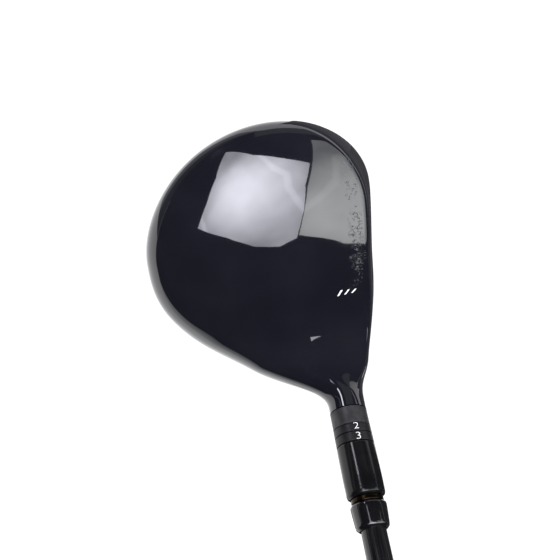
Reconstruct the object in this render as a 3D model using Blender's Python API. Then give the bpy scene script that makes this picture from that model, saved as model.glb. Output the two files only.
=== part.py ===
"""Left-handed fairway wood with an adjustable hosel adapter, as separate closed solids.

Frame: +X is the target side (the face), +Y the toe, +Z up. The origin is the centre of the
flat at the bottom of the sole. The club is at address, so the shaft leans toward -Y.
Lengths are written in millimetres and become metres when a mesh is made.
"""

from math import cos, hypot, pi, radians, sin, tan

import bmesh
import bpy
import numpy as np
from mathutils import Vector

MM = 0.001
GAP = 0.3  # clearance between pieces that touch on the real club

# ---- driving dimensions, in millimetres and degrees ----
LIE = 57.0
LOFT = 15.0
AXIS_Y = -22.0  # where the shaft axis meets the ground, heelward of the origin
CLUB_LENGTH = 1092.0  # 43 inches, along the shaft axis from the ground
TOE_Y = 47.7
TOE_X = -18.2
TOE_Z = 19.5
BACK_X = -68.0
BACK_ROUNDS_FROM, FRONT_ROUNDS_FROM, HEIGHT_ROUNDS_FROM = -1.0, 18.6, 8.0  # y, toward the toe
TOPLINE_X = 13.0
FACE_BULGE = 280.0  # radius of the face across its width
FACE_ROLL = 0.45  # how far the face stands proud of its chord, top to bottom
TOPLINE_ROUND = 3.0
LEADING_ROUND = 5.0
CROWN_WALL = 0.8
BODY_WALL = 1.3
FACE_WALL = 2.4
HOSEL_WALL = 0.95
HOSEL_R = 6.7
BEND_R = 20.0  # concave sweep of the crown into the hosel
HOSEL_TOP = 58.7
BORE_R = HOSEL_R - HOSEL_WALL

# ---- stations along the shaft axis, measured from the ground ----
TUBE_FROM, TUBE_TO = 10.4, 38.5
SEAT_FROM, SEAT_TO = 16.0, 18.5
COLLAR_TO = 65.3
UPPER_RING_TO = 68.5
RINGS_TO = 71.9
SLEEVE_FROM, SLEEVE_TO = 28.0, 90.4
SHAFT_FROM = 44.5
FERRULE_FROM, FERRULE_TO = 92.6, 101.2
PARALLEL_TO = SHAFT_FROM + 90.0  # the shaft's parallel tip, then its taper
TAPER_TO = CLUB_LENGTH - 60.0
GRIP_FROM = CLUB_LENGTH - 268.0
CAP_FLANGE = 3.2
CAP_R = 13.4
VENT_R = 1.3

BOLT_R = 2.35
BOLT_HEAD_R = 4.0
BOLT_HEAD_HEIGHT = 4.4
BOLT_HEAD_TO = SEAT_FROM - 1.5
BOLT_TO = SHAFT_FROM - 5.0
SOCKET_FLATS = 4.0  # one wrench fits the bolt and the weight
PORT_R = 4.7
TUBE_R = 6.4  # outside of the bore tube, low in the hosel
SLEEVE_R = 5.4
SHOULDER_R = 6.8  # the visible part of the sleeve, which stands on the rings
TIP_WALL, SHAFT_WALL = 1.7, 1.1
SHAFT_TIP_R = 4.25
SHAFT_BUTT_R = 7.6
SEGMENTS = 28

# ---- the weight in the rear of the sole ----
WEIGHT_XY = (-46.0, 0.0)
WEIGHT_TILT = 13.0  # degrees that the sole rises toward the back there
WEIGHT_R = 7.0
WEIGHT_HEAD = 2.8
WEIGHT_SHANK_R = 2.6
WEIGHT_DEPTH = 9.0
WELL_R = WEIGHT_R + GAP
WELL_DEPTH = WEIGHT_HEAD + 1.6  # to the seat of the washer
BOSS_WALL = 1.3

# ---- the slot behind the leading edge ----
SLOT_X, SLOT_Y, SLOT_LENGTH, SLOT_WIDTH = 9.0, -1.0, 46.0, 4.4
BADGE_XY = (-21.0, 0.0)

# ---- grid of the head's surface ----
ALONG_TOE, ALONG_BODY, ALONG_BEND = 10, 6, 15
AROUND = {"crown": 12, "topline": 2, "face": 5, "leading": 2, "sole": 12}

AXIS = np.array([0.0, -cos(radians(LIE)), sin(radians(LIE))])
AXIS_FOOT = np.array([0.0, AXIS_Y, 0.0])
BEND_TO_AXIS = BEND_R + HOSEL_R
BEND_LENGTH, BEND_EASE = 40.0, 10.0  # travel over the bend, and over each of its two soft ends
HOSEL_SPAN = 6.2  # the straight part of the hosel above the bend


def through(points):
    """The natural cubic spline through (position, value) pairs, straight on past its ends."""
    at, value = (np.array(column, float) for column in zip(*sorted(points)))
    steps = np.diff(at)
    rises = np.diff(value) / steps
    bends = np.zeros(len(at))  # second derivatives, 0 at both ends
    system = np.diag(2 * (steps[:-1] + steps[1:]))
    system += np.diag(steps[1:-1], 1) + np.diag(steps[1:-1], -1)
    bends[1:-1] = np.linalg.solve(system, 6 * np.diff(rises))

    def evaluate(position):
        k = int(np.clip(np.searchsorted(at, position) - 1, 0, len(steps) - 1))
        h = steps[k]
        a, b = (at[k + 1] - position) / h, (position - at[k]) / h
        curve = ((a**3 - a) * bends[k] + (b**3 - b) * bends[k + 1]) * h * h / 6
        return a * value[k] + b * value[k + 1] + curve

    return evaluate


def ramp(t):
    t = np.clip(t, 0.0, 1.0)
    return t * t * (3 - 2 * t)


def bend_path(steps=400):
    """Travel into the bend, the sections' turn, and how far the line they turn about has moved.

    Sections first slide toward the heel, then turn about a line that lies along X above the
    heel, and then slide up the hosel. The ramps make each motion fade into the next.
    """
    into = np.linspace(0, BEND_LENGTH + HOSEL_SPAN, steps)
    turning = ramp(into / BEND_EASE) * (1 - ramp((into - BEND_LENGTH + BEND_EASE) / BEND_EASE))
    step = into[1] - into[0]
    turn = np.cumsum(turning) * step * radians(LIE) / (BEND_LENGTH - BEND_EASE)
    heelward = -np.cumsum((1 - turning) * np.cos(turn)) * step
    upward = np.cumsum((1 - turning) * np.sin(turn)) * step
    return into, turn, heelward, upward


INTO, TURN, HEELWARD, UPWARD = bend_path()
# The bend starts where it has to, so that it ends with the sections centred on the shaft axis.
BEND_Y = AXIS_Y + AXIS[1] * HOSEL_TOP + BEND_TO_AXIS * sin(radians(LIE)) - HEELWARD[-1]
BEND_Z = AXIS[2] * HOSEL_TOP + BEND_TO_AXIS * cos(radians(LIE)) - UPWARD[-1]
HOSEL_END = BEND_Y - BEND_LENGTH - HOSEL_SPAN
ROUNDING_FROM, ROUNDING_TO = BEND_Y - 24.0, HOSEL_END + 2.2  # where the sections turn into circles
AXIS_H = BEND_Z - BEND_TO_AXIS  # section height of the hosel's centre
ROUND_45 = HOSEL_R * cos(radians(45))


def bulged(y):
    return TOPLINE_X - (y + 5.0) ** 2 / (2 * FACE_BULGE)


def face_run(height):
    return height * tan(radians(LOFT))


TOP_H, LEAD_H = 31.5, 0.8
# Points of each section, from the toe to the end of the hosel. B0 to B3 are places in the bend.
B0, B1, B2, B3 = BEND_Y, BEND_Y - 14.0, BEND_Y - 25.0, BEND_Y - 34.0
section_back_x = through(
    [(TOE_Y, BACK_X), (18, BACK_X), (-1, BACK_X), (B0, -63.3), (B1, -49.2), (B2, -30.3),
     (B3, -20.8), (HOSEL_END, -HOSEL_R)]
)
section_back_h = through(
    [(TOE_Y, 19.5), (-1, 18.5), (B0, 18.5), (B1, 19.0), (B2, 22.0), (B3, 25.0), (HOSEL_END, AXIS_H)]
)
section_top_x = through(
    [(TOE_Y, bulged(TOE_Y)), (18, bulged(18)), (-5, bulged(-5)), (B0, 13.8), (B1, 12.8),
     (B2, 11.0), (B3, 9.6), (HOSEL_END, ROUND_45)]
)
section_top_h = through(
    [(TOE_Y, TOP_H - 1.5), (18, TOP_H - 0.5), (-5, TOP_H), (B0, TOP_H - 0.5), (B1, TOP_H - 0.2),
     (B2, 31.8), (B3, 32.2), (HOSEL_END, AXIS_H + ROUND_45)]
)
section_lead_x = through(
    [(TOE_Y, bulged(TOE_Y) + face_run(28)), (18, bulged(18) + face_run(30)),
     (-5, bulged(-5) + face_run(TOP_H - LEAD_H)), (B0, 13.8 + face_run(30)), (B1, 19.0),
     (B2, 14.0), (B3, 9.8), (HOSEL_END, ROUND_45)]
)
section_lead_h = through(
    [(TOE_Y, 3.0), (18, 1.4), (-5, LEAD_H), (B0, 1.5), (B1, 4.0), (B2, 11.0), (B3, 18.0),
     (HOSEL_END, AXIS_H - ROUND_45)]
)
crown_rise = through(
    [(TOE_Y, 8.0), (18, 11.0), (-5, 11.5), (B0, 9.5), (B1, 7.0), (B2, 5.0), (HOSEL_END, 2.0)]
)
sole_drop = through([(TOE_Y, 2.4), (18, 2.7), (-1, 2.9), (B0, 2.5), (B1, 2.0), (HOSEL_END, 1.0)])


def closing(y, start, power):
    """1 up to start, then down to 0 at the toe as a rounded end."""
    along = min(max((y - start) / (TOE_Y - start), 0.0), 1.0)
    return (1 - along**power) ** (1 / power)


def bezier(a, b, c, d, steps):
    for k in range(steps):
        t = k / steps
        yield (1 - t) ** 3 * a + 3 * t * (1 - t) ** 2 * b + 3 * t * t * (1 - t) * c + t**3 * d


def corner(start, tip, end, steps):
    """The short curve that rounds the corner at tip."""
    return bezier(start, (start + 2 * tip) / 3, (end + 2 * tip) / 3, end, steps)


def toward(a, b, distance):
    """The point at this distance from a toward b, at most 40% of the way."""
    step = b - a
    length = max(hypot(*step), 1e-9)
    return a + step * min(distance / length, 0.4)


def section(travel):
    """The closed outline (x, height) at this travel, from the back round over the crown."""
    back = closing(travel, BACK_ROUNDS_FROM, 1.93)
    front = closing(travel, FRONT_ROUNDS_FROM, 2.17)
    tall = closing(travel, HEIGHT_ROUNDS_FROM, 2.0)

    def at(x, h, side):
        return np.array([TOE_X + (x - TOE_X) * side, TOE_Z + (h - TOE_Z) * tall])

    rear = at(section_back_x(travel), section_back_h(travel), back)
    top = at(section_top_x(travel), section_top_h(travel), front)
    lead = at(section_lead_x(travel), section_lead_h(travel), front)
    rise, drop = crown_rise(travel) * tall, sole_drop(travel) * tall

    crown_width, sole_width = top[0] - rear[0], lead[0] - rear[0]
    crown_b = top + np.array([-0.55 * crown_width, rise])
    crown_a = rear + np.array([0, 0.62 * (crown_b[1] - rear[1])])
    sole_a = lead + np.array([-0.45 * sole_width, -drop])
    sole_b = rear + np.array([0, 0.74 * (sole_a[1] - rear[1])])

    top_in, top_out = toward(top, crown_b, TOPLINE_ROUND), toward(top, lead, TOPLINE_ROUND)
    lead_in, lead_out = toward(lead, top, LEADING_ROUND), toward(lead, sole_a, LEADING_ROUND)
    roll = np.array([FACE_ROLL * front, 0])
    third = (lead_in - top_out) / 3

    points = []
    points += bezier(rear, crown_a, crown_b, top_in, AROUND["crown"])
    points += corner(top_in, top, top_out, AROUND["topline"])
    points += bezier(top_out, top_out + third + roll, lead_in - third + roll, lead_in, AROUND["face"])
    points += corner(lead_in, lead, lead_out, AROUND["leading"])
    points += bezier(lead_out, sole_a, sole_b, rear, AROUND["sole"])
    return np.array(points)


def hosel_circle():
    """The round section, with its points where the head's sections have their own."""
    corners = [180, 55, 35, -35, -55, -180]
    points = []
    for (start, end), count in zip(zip(corners, corners[1:]), AROUND.values()):
        for k in range(count):
            angle = radians(start + (end - start) * k / count)
            points.append([HOSEL_R * cos(angle), AXIS_H + HOSEL_R * sin(angle)])
    return np.array(points)


def placed(outline, travel):
    """Section points in the world: upright before the bend, turned about its centre line in it."""
    into = BEND_Y - travel
    turn = np.interp(into, INTO, TURN)
    below = BEND_Z - outline[:, 1]
    y = max(travel, BEND_Y) + np.interp(into, INTO, HEELWARD) - sin(turn) * below
    z = BEND_Z + np.interp(into, INTO, UPWARD) - cos(turn) * below
    return np.stack([outline[:, 0], y, z], axis=1)


def travels():
    """Travel of each section, closer together at the toe, where the surface closes."""
    shoulder = 8.0
    toe = [shoulder + (TOE_Y - shoulder) * cos(pi / 2 * k / ALONG_TOE) for k in range(ALONG_TOE)]
    body = np.linspace(shoulder, BEND_Y, ALONG_BODY, endpoint=False)
    bend = np.linspace(BEND_Y, HOSEL_END, ALONG_BEND + 1)
    return np.concatenate([toe, body, bend])


TRAVELS = travels()
LAST = len(TRAVELS) - 1
BEND_START = ALONG_TOE + ALONG_BODY
# Where the crown, topline, face, leading edge and sole start round a section.
EDGES = np.cumsum([0] + list(AROUND.values()))
BACK, CROWN_END, FACE_START, FACE_END, SOLE_START, WHOLE = (int(n) for n in EDGES)


def outer_skin():
    """Grid of the head's outer points: [section along the head, point round the section]."""
    circle = hosel_circle()
    rows = []
    for travel in TRAVELS:
        share = ramp((ROUNDING_FROM - travel) / (ROUNDING_FROM - ROUNDING_TO))
        rows.append(placed((1 - share) * section(travel) + share * circle, travel))
    return np.array(rows)


def skin_normals(grid):
    """Outward unit normals of the grid's points."""
    around = np.roll(grid, -1, axis=1) - np.roll(grid, 1, axis=1)
    along = np.gradient(grid, axis=0)
    along[0] = grid[1] - grid[0]
    normals = np.cross(along, around)
    normals[0] = (0, 1, 0)
    return normals / np.maximum(np.linalg.norm(normals, axis=2, keepdims=True), 1e-9)


SKIN = outer_skin()
NORMALS = skin_normals(SKIN)
if ((SKIN[5] - SKIN[5].mean(axis=0)) * NORMALS[5]).sum() < 0:
    NORMALS[1:] *= -1


def inset(depth):
    """The grid moved inward by depth, a number or one for each section."""
    depths = np.broadcast_to(np.asarray(depth, float), (LAST + 1,))
    return SKIN - NORMALS * depths[:, None, None]


# ---- making objects ----


def material(name, colour, roughness, metallic):
    made = bpy.data.materials.new(name)
    made.use_nodes = True
    shader = made.node_tree.nodes["Principled BSDF"]
    shader.inputs["Base Color"].default_value = (*colour, 1)
    shader.inputs["Roughness"].default_value = roughness
    shader.inputs["Metallic"].default_value = metallic
    return made


def object_of(name, bm, look, parent=None):
    """An object of this bmesh, shaded smooth with its corners kept sharp."""
    mesh = bpy.data.meshes.new(name)
    bm.normal_update()
    bm.to_mesh(mesh)
    bm.free()
    made = bpy.data.objects.new(name, mesh)
    bpy.context.scene.collection.objects.link(made)
    mesh.materials.append(look)
    mesh.shade_smooth()
    mesh.set_sharp_from_angle(angle=radians(35))
    made.parent = parent
    return made


def empty(name, place, turn):
    made = bpy.data.objects.new(name, None)
    made.location = Vector(place) * MM
    made.rotation_euler = turn
    bpy.context.scene.collection.objects.link(made)
    return made


def cutter(made):
    made.hide_render = True
    made.display_type = "WIRE"
    return made


def boolean(target, other, operation):
    step = target.modifiers.new(operation.lower() + "_" + other.name, "BOOLEAN")
    step.object = other
    step.operation = operation
    return target


def lathe(name, profile, look, parent, segments=SEGMENTS, hollow=False):
    """Turns (radius, station) points about the parent's Z. A hollow profile is a closed loop."""
    bm = bmesh.new()
    ring = [bm.verts.new((r * MM, 0, s * MM)) for r, s in profile]
    edges = [bm.edges.new(pair) for pair in zip(ring, ring[1:])]
    if hollow:
        edges.append(bm.edges.new((ring[-1], ring[0])))
    bmesh.ops.spin(
        bm, geom=ring + edges, cent=(0, 0, 0), axis=(0, 0, 1), angle=2 * pi, steps=segments
    )
    bmesh.ops.remove_doubles(bm, verts=bm.verts, dist=1e-7)
    bmesh.ops.recalc_face_normals(bm, faces=bm.faces)
    return object_of(name, bm, look, parent)


def cylinder(radius, start, end):
    """Profile of a solid cylinder."""
    return [(0, start), (radius, start), (radius, end), (0, end)]


def tube(inner, outer, start, end, chamfer=0.0):
    """Closed profile of a plain ring or tube, its outer corners broken."""
    if not chamfer:
        return [(inner, start), (outer, start), (outer, end), (inner, end)]
    low = [(inner, start), (outer - chamfer, start), (outer, start + chamfer)]
    high = [(outer, end - chamfer), (outer - chamfer, end), (inner, end)]
    return low + high


def prism(name, outline, low, high, look, parent=None):
    """A straight-sided solid on an outline of (x, y) points, from low to high."""
    bm = bmesh.new()
    base = bm.faces.new([bm.verts.new((x * MM, y * MM, low * MM)) for x, y in outline])
    grown = bmesh.ops.extrude_face_region(bm, geom=[base])
    moved = [v for v in grown["geom"] if isinstance(v, bmesh.types.BMVert)]
    bmesh.ops.translate(bm, verts=moved, vec=(0, 0, (high - low) * MM))
    bmesh.ops.recalc_face_normals(bm, faces=bm.faces)
    return object_of(name, bm, look, parent)


def hexagon(across_flats):
    radius = across_flats / 2 / cos(pi / 6)
    return [(radius * cos(k * pi / 3), radius * sin(k * pi / 3)) for k in range(6)]


def stadium(x, y, length, width, steps=6):
    """Outline of a slot along Y with round ends."""
    r, half = width / 2, (length - width) / 2
    ends = []
    for side in (1, -1):
        for k in range(steps + 1):
            angle = pi * k / steps + (0 if side > 0 else pi)
            ends.append((x + r * cos(angle), y + side * half + r * sin(angle)))
    return ends


# ---- the head's shells ----


def closed_skin(name, grid, look):
    """The whole grid as one solid: a point at the toe and a flat end at the hosel."""
    bm = bmesh.new()
    tip = bm.verts.new(grid[0].mean(axis=0) * MM)
    rows = [[bm.verts.new(p * MM) for p in row] for row in grid[1:]]
    for k in range(WHOLE):
        bm.faces.new((tip, rows[0][k], rows[0][(k + 1) % WHOLE]))
    for low, high in zip(rows, rows[1:]):
        for k in range(WHOLE):
            n = (k + 1) % WHOLE
            bm.faces.new((low[k], high[k], high[n], low[n]))
    bm.faces.new(rows[-1])
    bmesh.ops.recalc_face_normals(bm, faces=bm.faces)
    return object_of(name, bm, look)


def eased(grid, first, last, start, end):
    """A patch of the grid whose four edges are drawn in by GAP, so that it clears the body."""
    patch = grid[first : last + 1, start : end + 1].copy()
    for edge, inside in ((patch[0], patch[1]), (patch[-1], patch[-2])):
        step = inside - edge
        edge += step * GAP / np.linalg.norm(step, axis=1, keepdims=True)
    for edge, inside in ((patch[:, 0], patch[:, 1]), (patch[:, -1], patch[:, -2])):
        step = inside - edge
        edge += step * GAP / np.linalg.norm(step, axis=1, keepdims=True)
    return patch


def plate(name, outer, inner, look):
    """A curved plate between two patches of the same size."""
    bm = bmesh.new()
    rows, columns = outer.shape[:2]
    sheets = [[[bm.verts.new(p * MM) for p in row] for row in grid] for grid in (outer, inner)]
    for j in range(rows - 1):
        for k in range(columns - 1):
            for here in sheets:
                bm.faces.new((here[j][k], here[j + 1][k], here[j + 1][k + 1], here[j][k + 1]))
    rim = [(0, k) for k in range(columns)] + [(j, columns - 1) for j in range(1, rows)]
    rim += [(rows - 1, k) for k in reversed(range(columns - 1))]
    rim += [(j, 0) for j in reversed(range(1, rows - 1))]
    for (a, b), (c, d) in zip(rim, rim[1:] + rim[:1]):
        bm.faces.new((sheets[0][a][b], sheets[0][c][d], sheets[1][c][d], sheets[1][a][b]))
    bmesh.ops.recalc_face_normals(bm, faces=bm.faces)
    return object_of(name, bm, look)


CROWN_ROWS = (2, BEND_START + 3)
CROWN_COLUMNS = (1, CROWN_END)
FACE_ROWS = (5, BEND_START)
FACE_COLUMNS = (FACE_START, FACE_END)


def in_patch(j, k, rows, columns):
    return rows[0] <= j < rows[1] and columns[0] <= k < columns[1]


def body_shell(look):
    """Skirt, sole, toe and hosel as one wall, open where the crown and the face plate sit."""
    walls = np.full(LAST + 1, BODY_WALL)
    bend = TRAVELS < BEND_Y
    walls[bend] = np.interp(-TRAVELS[bend], [-BEND_Y, -HOSEL_END], [BODY_WALL, HOSEL_WALL])
    grids = (SKIN, inset(walls))
    bm = bmesh.new()
    sheets = []
    for grid in grids:
        tip = bm.verts.new(grid[0].mean(axis=0) * MM)
        sheets.append([[tip] * WHOLE] + [[bm.verts.new(p * MM) for p in row] for row in grid[1:]])
    kept = set()
    for j in range(LAST):
        for k in range(WHOLE):
            in_crown = in_patch(j, k, CROWN_ROWS, CROWN_COLUMNS)
            if not in_crown and not in_patch(j, k, FACE_ROWS, FACE_COLUMNS):
                kept.add((j, k))
    for j, k in sorted(kept):
        n = (k + 1) % WHOLE
        for sheet in sheets:
            corners = [sheet[j][k], sheet[j + 1][k], sheet[j + 1][n], sheet[j][n]]
            bm.faces.new(corners[:3] if j == 0 else corners)
    for j, k in sorted(kept):
        n = (k + 1) % WHOLE
        sides = (
            ((j, k - 1 if k else WHOLE - 1), (j, k), (j + 1, k)),
            ((j, n), (j + 1, n), (j, n)),
            ((j - 1, k), (j, k), (j, n)),
            ((j + 1, k), (j + 1, k), (j + 1, n)),
        )
        for beyond, (a, b), (c, d) in sides:
            if beyond in kept or beyond[0] < 0:
                continue
            bm.faces.new((sheets[0][a][b], sheets[0][c][d], sheets[1][c][d], sheets[1][a][b]))
    loose = [v for v in bm.verts if not v.link_faces]
    bmesh.ops.delete(bm, geom=loose, context="VERTS")
    bmesh.ops.recalc_face_normals(bm, faces=bm.faces)
    return object_of("body_shell", bm, look)


def cut_port(body, core, look, axis):
    """The round port in the heel of the sole, through which a wrench reaches the bolt."""
    boss = cutter(lathe("port_boss", cylinder(TUBE_R, 0.5, TUBE_FROM - GAP), look, axis))
    boolean(boss, core, "INTERSECT")
    boolean(body, boss, "UNION")
    hole = cutter(lathe("port_cut", cylinder(PORT_R, -6, TUBE_FROM + 1), look, axis))
    boolean(body, hole, "DIFFERENCE")


def cut_weight_well(body, core, look, weight_axis):
    """The stepped well of the weight, with a boss round it inside the sole."""
    outer, inner = WELL_R + BOSS_WALL, WEIGHT_SHANK_R + 1.5 * BOSS_WALL
    step, boss_top = WELL_DEPTH + BOSS_WALL, WEIGHT_DEPTH + BOSS_WALL
    outside = [(0, -4), (outer, -4), (outer, step), (inner, step + 0.2), (inner, boss_top), (0, boss_top)]
    boss = cutter(lathe("weight_boss", outside, look, weight_axis))
    boolean(boss, core, "INTERSECT")
    boolean(body, boss, "UNION")
    shank_r, deep = WEIGHT_SHANK_R + GAP, WEIGHT_DEPTH + 0.8
    inside = [(0, -8), (WELL_R, -8), (WELL_R, WELL_DEPTH), (shank_r, WELL_DEPTH), (shank_r, deep), (0, deep)]
    well = cutter(lathe("weight_cut", inside, look, weight_axis))
    boolean(body, well, "DIFFERENCE")


def build_slot(body, looks):
    """The slot through the sole behind the leading edge, and the soft filler that closes it."""
    steel = looks["steel"]
    cut = stadium(SLOT_X, SLOT_Y, SLOT_LENGTH, SLOT_WIDTH)
    boolean(body, cutter(prism("slot_cut", cut, -5, 6, steel)), "DIFFERENCE")
    filled = stadium(SLOT_X, SLOT_Y, SLOT_LENGTH - 2 * GAP, SLOT_WIDTH - 2 * GAP)
    filler = prism("slot_filler", filled, -5, 3.6, looks["polymer"])
    boolean(filler, cutter(closed_skin("slot_trim", inset(0.25), steel)), "INTERSECT")


def build_plates(looks):
    """The crown and the face plate, which close the two openings of the body."""
    crown = [eased(grid, *CROWN_ROWS, *CROWN_COLUMNS) for grid in (SKIN, inset(CROWN_WALL))]
    plate("crown_shell", *crown, looks["black_paint"])
    face = [eased(grid, *FACE_ROWS, *FACE_COLUMNS) for grid in (SKIN, inset(FACE_WALL))]
    plate("face_plate", *face, looks["satin_black"])


def build_hosel_tube(look, axis):
    """The bore tube under the hosel, with the seat that the bolt's washer pulls against."""
    hole = BOLT_R + 0.5
    outside = [(PORT_R, TUBE_FROM), (TUBE_R, TUBE_FROM), (TUBE_R, TUBE_TO), (BORE_R, TUBE_TO)]
    seat = [(BORE_R, SEAT_TO), (hole, SEAT_TO), (hole, SEAT_FROM), (PORT_R, SEAT_FROM)]
    lathe("hosel_tube", outside + seat, look, axis, hollow=True)


def build_head(looks, axis, weight_axis):
    steel = looks["steel"]
    core = cutter(closed_skin("core_guide", inset(0.5), steel))
    body = body_shell(looks["black_paint"])
    cut_port(body, core, steel, axis)
    cut_weight_well(body, core, steel, weight_axis)
    build_slot(body, looks)
    ground = prism("ground", [(-90, -90), (90, -90), (90, 90), (-90, 90)], -30, 0, steel)
    boolean(body, cutter(ground), "DIFFERENCE")
    build_plates(looks)
    build_hosel_tube(steel, axis)
    return body


def build_inside(looks):
    """The pad of metal low at the back, and the ribs that stiffen the sole."""
    steel = looks["steel"]
    room = cutter(closed_skin("inner_room", inset(BODY_WALL + GAP), steel))
    outline = [(-66, -22), (-57, -26), (-55, -4), (-57, 18), (-66, 16)]
    pad = prism("rear_weight_pad", outline, 2, 12, steel)
    boolean(pad, room, "INTERSECT")
    ribs = (
        ("toe_rib", [(-50, 13), (4, 27), (4.4, 25.8), (-49.6, 11.8)]),
        ("heel_rib", [(-50, -15), (-16, -26), (-16.4, -27.2), (-50.4, -16.2)]),
    )
    for name, outline in ribs:
        rib = prism(name, outline, -2, 7.5, steel)
        boolean(rib, room, "INTERSECT")


# ---- the adapter, the bolt and the weight ----


def build_rings(look, axis):
    """The collar bonded to the top of the hosel, and the two index rings above it."""
    bore = SLEEVE_R + GAP
    collar = tube(bore, HOSEL_R, HOSEL_TOP + GAP, COLLAR_TO, 0.25)
    lathe("hosel_collar", collar, look, axis, hollow=True)
    upper = tube(bore, HOSEL_R + 0.02, COLLAR_TO + GAP, UPPER_RING_TO, 0.25)
    lathe("upper_ring", upper, look, axis, hollow=True)
    lower = tube(bore, HOSEL_R + 0.05, UPPER_RING_TO + GAP, RINGS_TO, 0.25)
    lathe("lower_ring", lower, look, axis, hollow=True)


def build_sleeve(looks, axis):
    """The sleeve that the shaft is bonded into: slim in the hosel, with a shoulder above the rings."""
    shoulder = RINGS_TO + GAP
    bore, floor = SHAFT_TIP_R + GAP, SHAFT_FROM - 1.5
    slim = [(3.9, SLEEVE_FROM), (SLEEVE_R - 0.5, SLEEVE_FROM), (SLEEVE_R, SLEEVE_FROM + 0.8)]
    seen = [(SLEEVE_R, shoulder), (SHOULDER_R - 0.3, shoulder), (SHOULDER_R, shoulder + 0.4)]
    seen += [(SHOULDER_R + 0.02, shoulder + 8), (SHOULDER_R - 0.2, shoulder + 13)]
    seen += [(6.15, SLEEVE_TO - 0.7), (5.7, SLEEVE_TO)]
    inside = [(bore, SLEEVE_TO), (bore, floor), (3.9, floor)]
    lathe("adapter_sleeve", slim + seen + inside, looks["satin_black"], axis, hollow=True)
    insert = tube(BOLT_R + GAP, 3.6, SLEEVE_FROM + 0.6, SHAFT_FROM - 3, 0.2)
    lathe("sleeve_insert", insert, looks["steel"], axis, hollow=True)


def build_ferrule(looks, axis):
    """The tapered ferrule, with the thin metal ring that parts it from the sleeve."""
    bore = SHAFT_TIP_R + GAP
    trim = tube(bore, 5.55, SLEEVE_TO + GAP, FERRULE_FROM - GAP, 0.2)
    lathe("trim_ring", trim, looks["brass"], axis, hollow=True)
    wide = [(bore, FERRULE_FROM), (5.9, FERRULE_FROM), (6.2, FERRULE_FROM + 0.4), (6.15, FERRULE_FROM + 2)]
    slim = [(5.75, FERRULE_TO - 3), (5.2, FERRULE_TO - 0.5), (4.9, FERRULE_TO), (bore, FERRULE_TO)]
    lathe("ferrule", wide + slim, looks["gloss_plastic"], axis, hollow=True)


def build_bolt(looks, axis):
    """The captive bolt, its washer and the ring that keeps it in the tube."""
    head_from = BOLT_HEAD_TO - BOLT_HEAD_HEIGHT
    head = [(0, head_from), (BOLT_HEAD_R - 0.4, head_from), (BOLT_HEAD_R, head_from + 0.4)]
    head.append((BOLT_HEAD_R, BOLT_HEAD_TO))
    stem = [(BOLT_R, BOLT_HEAD_TO), (BOLT_R, BOLT_TO - 0.6), (BOLT_R - 0.5, BOLT_TO), (0, BOLT_TO)]
    bolt = lathe("hosel_bolt", head + stem, looks["steel"], axis)
    socket = prism("bolt_socket", hexagon(SOCKET_FLATS), head_from - 2, head_from + 2.6, looks["steel"], axis)
    boolean(bolt, cutter(socket), "DIFFERENCE")
    washer = tube(BOLT_R + GAP, 4.2, BOLT_HEAD_TO + GAP, SEAT_FROM - GAP)
    lathe("bolt_washer", washer, looks["steel"], axis, hollow=True)
    retainer = tube(BOLT_R + GAP, 4.4, SEAT_TO + GAP, SEAT_TO + 1.5, 0.2)
    lathe("bolt_retainer", retainer, looks["polymer"], axis, hollow=True)


def build_weight(looks, weight_axis):
    """The screw's flange faces down out of the sole: its own Z runs up into the head."""
    slim = WEIGHT_SHANK_R
    flange = [(0, 0), (WEIGHT_R - 0.5, 0), (WEIGHT_R, 0.5), (WEIGHT_R, WEIGHT_HEAD), (slim, WEIGHT_HEAD)]
    shank = [(slim, WEIGHT_DEPTH - 0.6), (slim - 0.5, WEIGHT_DEPTH), (0, WEIGHT_DEPTH)]
    screw = lathe("weight_screw", flange + shank, looks["aluminium"], weight_axis)
    socket = prism("weight_socket", hexagon(SOCKET_FLATS), -2, 2.2, looks["steel"], weight_axis)
    boolean(screw, cutter(socket), "DIFFERENCE")
    washer = tube(WEIGHT_SHANK_R + GAP, 5.6, WEIGHT_HEAD + GAP, WELL_DEPTH - GAP)
    lathe("weight_washer", washer, looks["polymer"], weight_axis, hollow=True)


# ---- the shaft and the grip ----


def shaft_radius(station):
    """Parallel tip, then a steady taper to the butt."""
    share = min(max((station - PARALLEL_TO) / (TAPER_TO - PARALLEL_TO), 0.0), 1.0)
    return SHAFT_TIP_R + (SHAFT_BUTT_R - SHAFT_TIP_R) * share


def build_shaft(looks, axis):
    butt = CLUB_LENGTH - CAP_FLANGE - 2.5
    stations = [PARALLEL_TO, GRIP_FROM, TAPER_TO, butt]
    outside = [(SHAFT_TIP_R - 0.4, SHAFT_FROM), (SHAFT_TIP_R, SHAFT_FROM + 0.5)]
    outside += [(shaft_radius(s), s) for s in stations]
    walls = [TIP_WALL] + [SHAFT_WALL] * 3
    inside = [(shaft_radius(s) - wall, s) for s, wall in zip(stations, walls)][::-1]
    inside.append((SHAFT_TIP_R - TIP_WALL, SHAFT_FROM))
    lathe("shaft", outside + inside, looks["graphite"], axis, hollow=True)
    plug = cylinder(SHAFT_TIP_R - TIP_WALL - GAP, SHAFT_FROM + 1, SHAFT_FROM + 9)
    lathe("tip_plug", plug, looks["polymer"], axis, segments=16)


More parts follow.
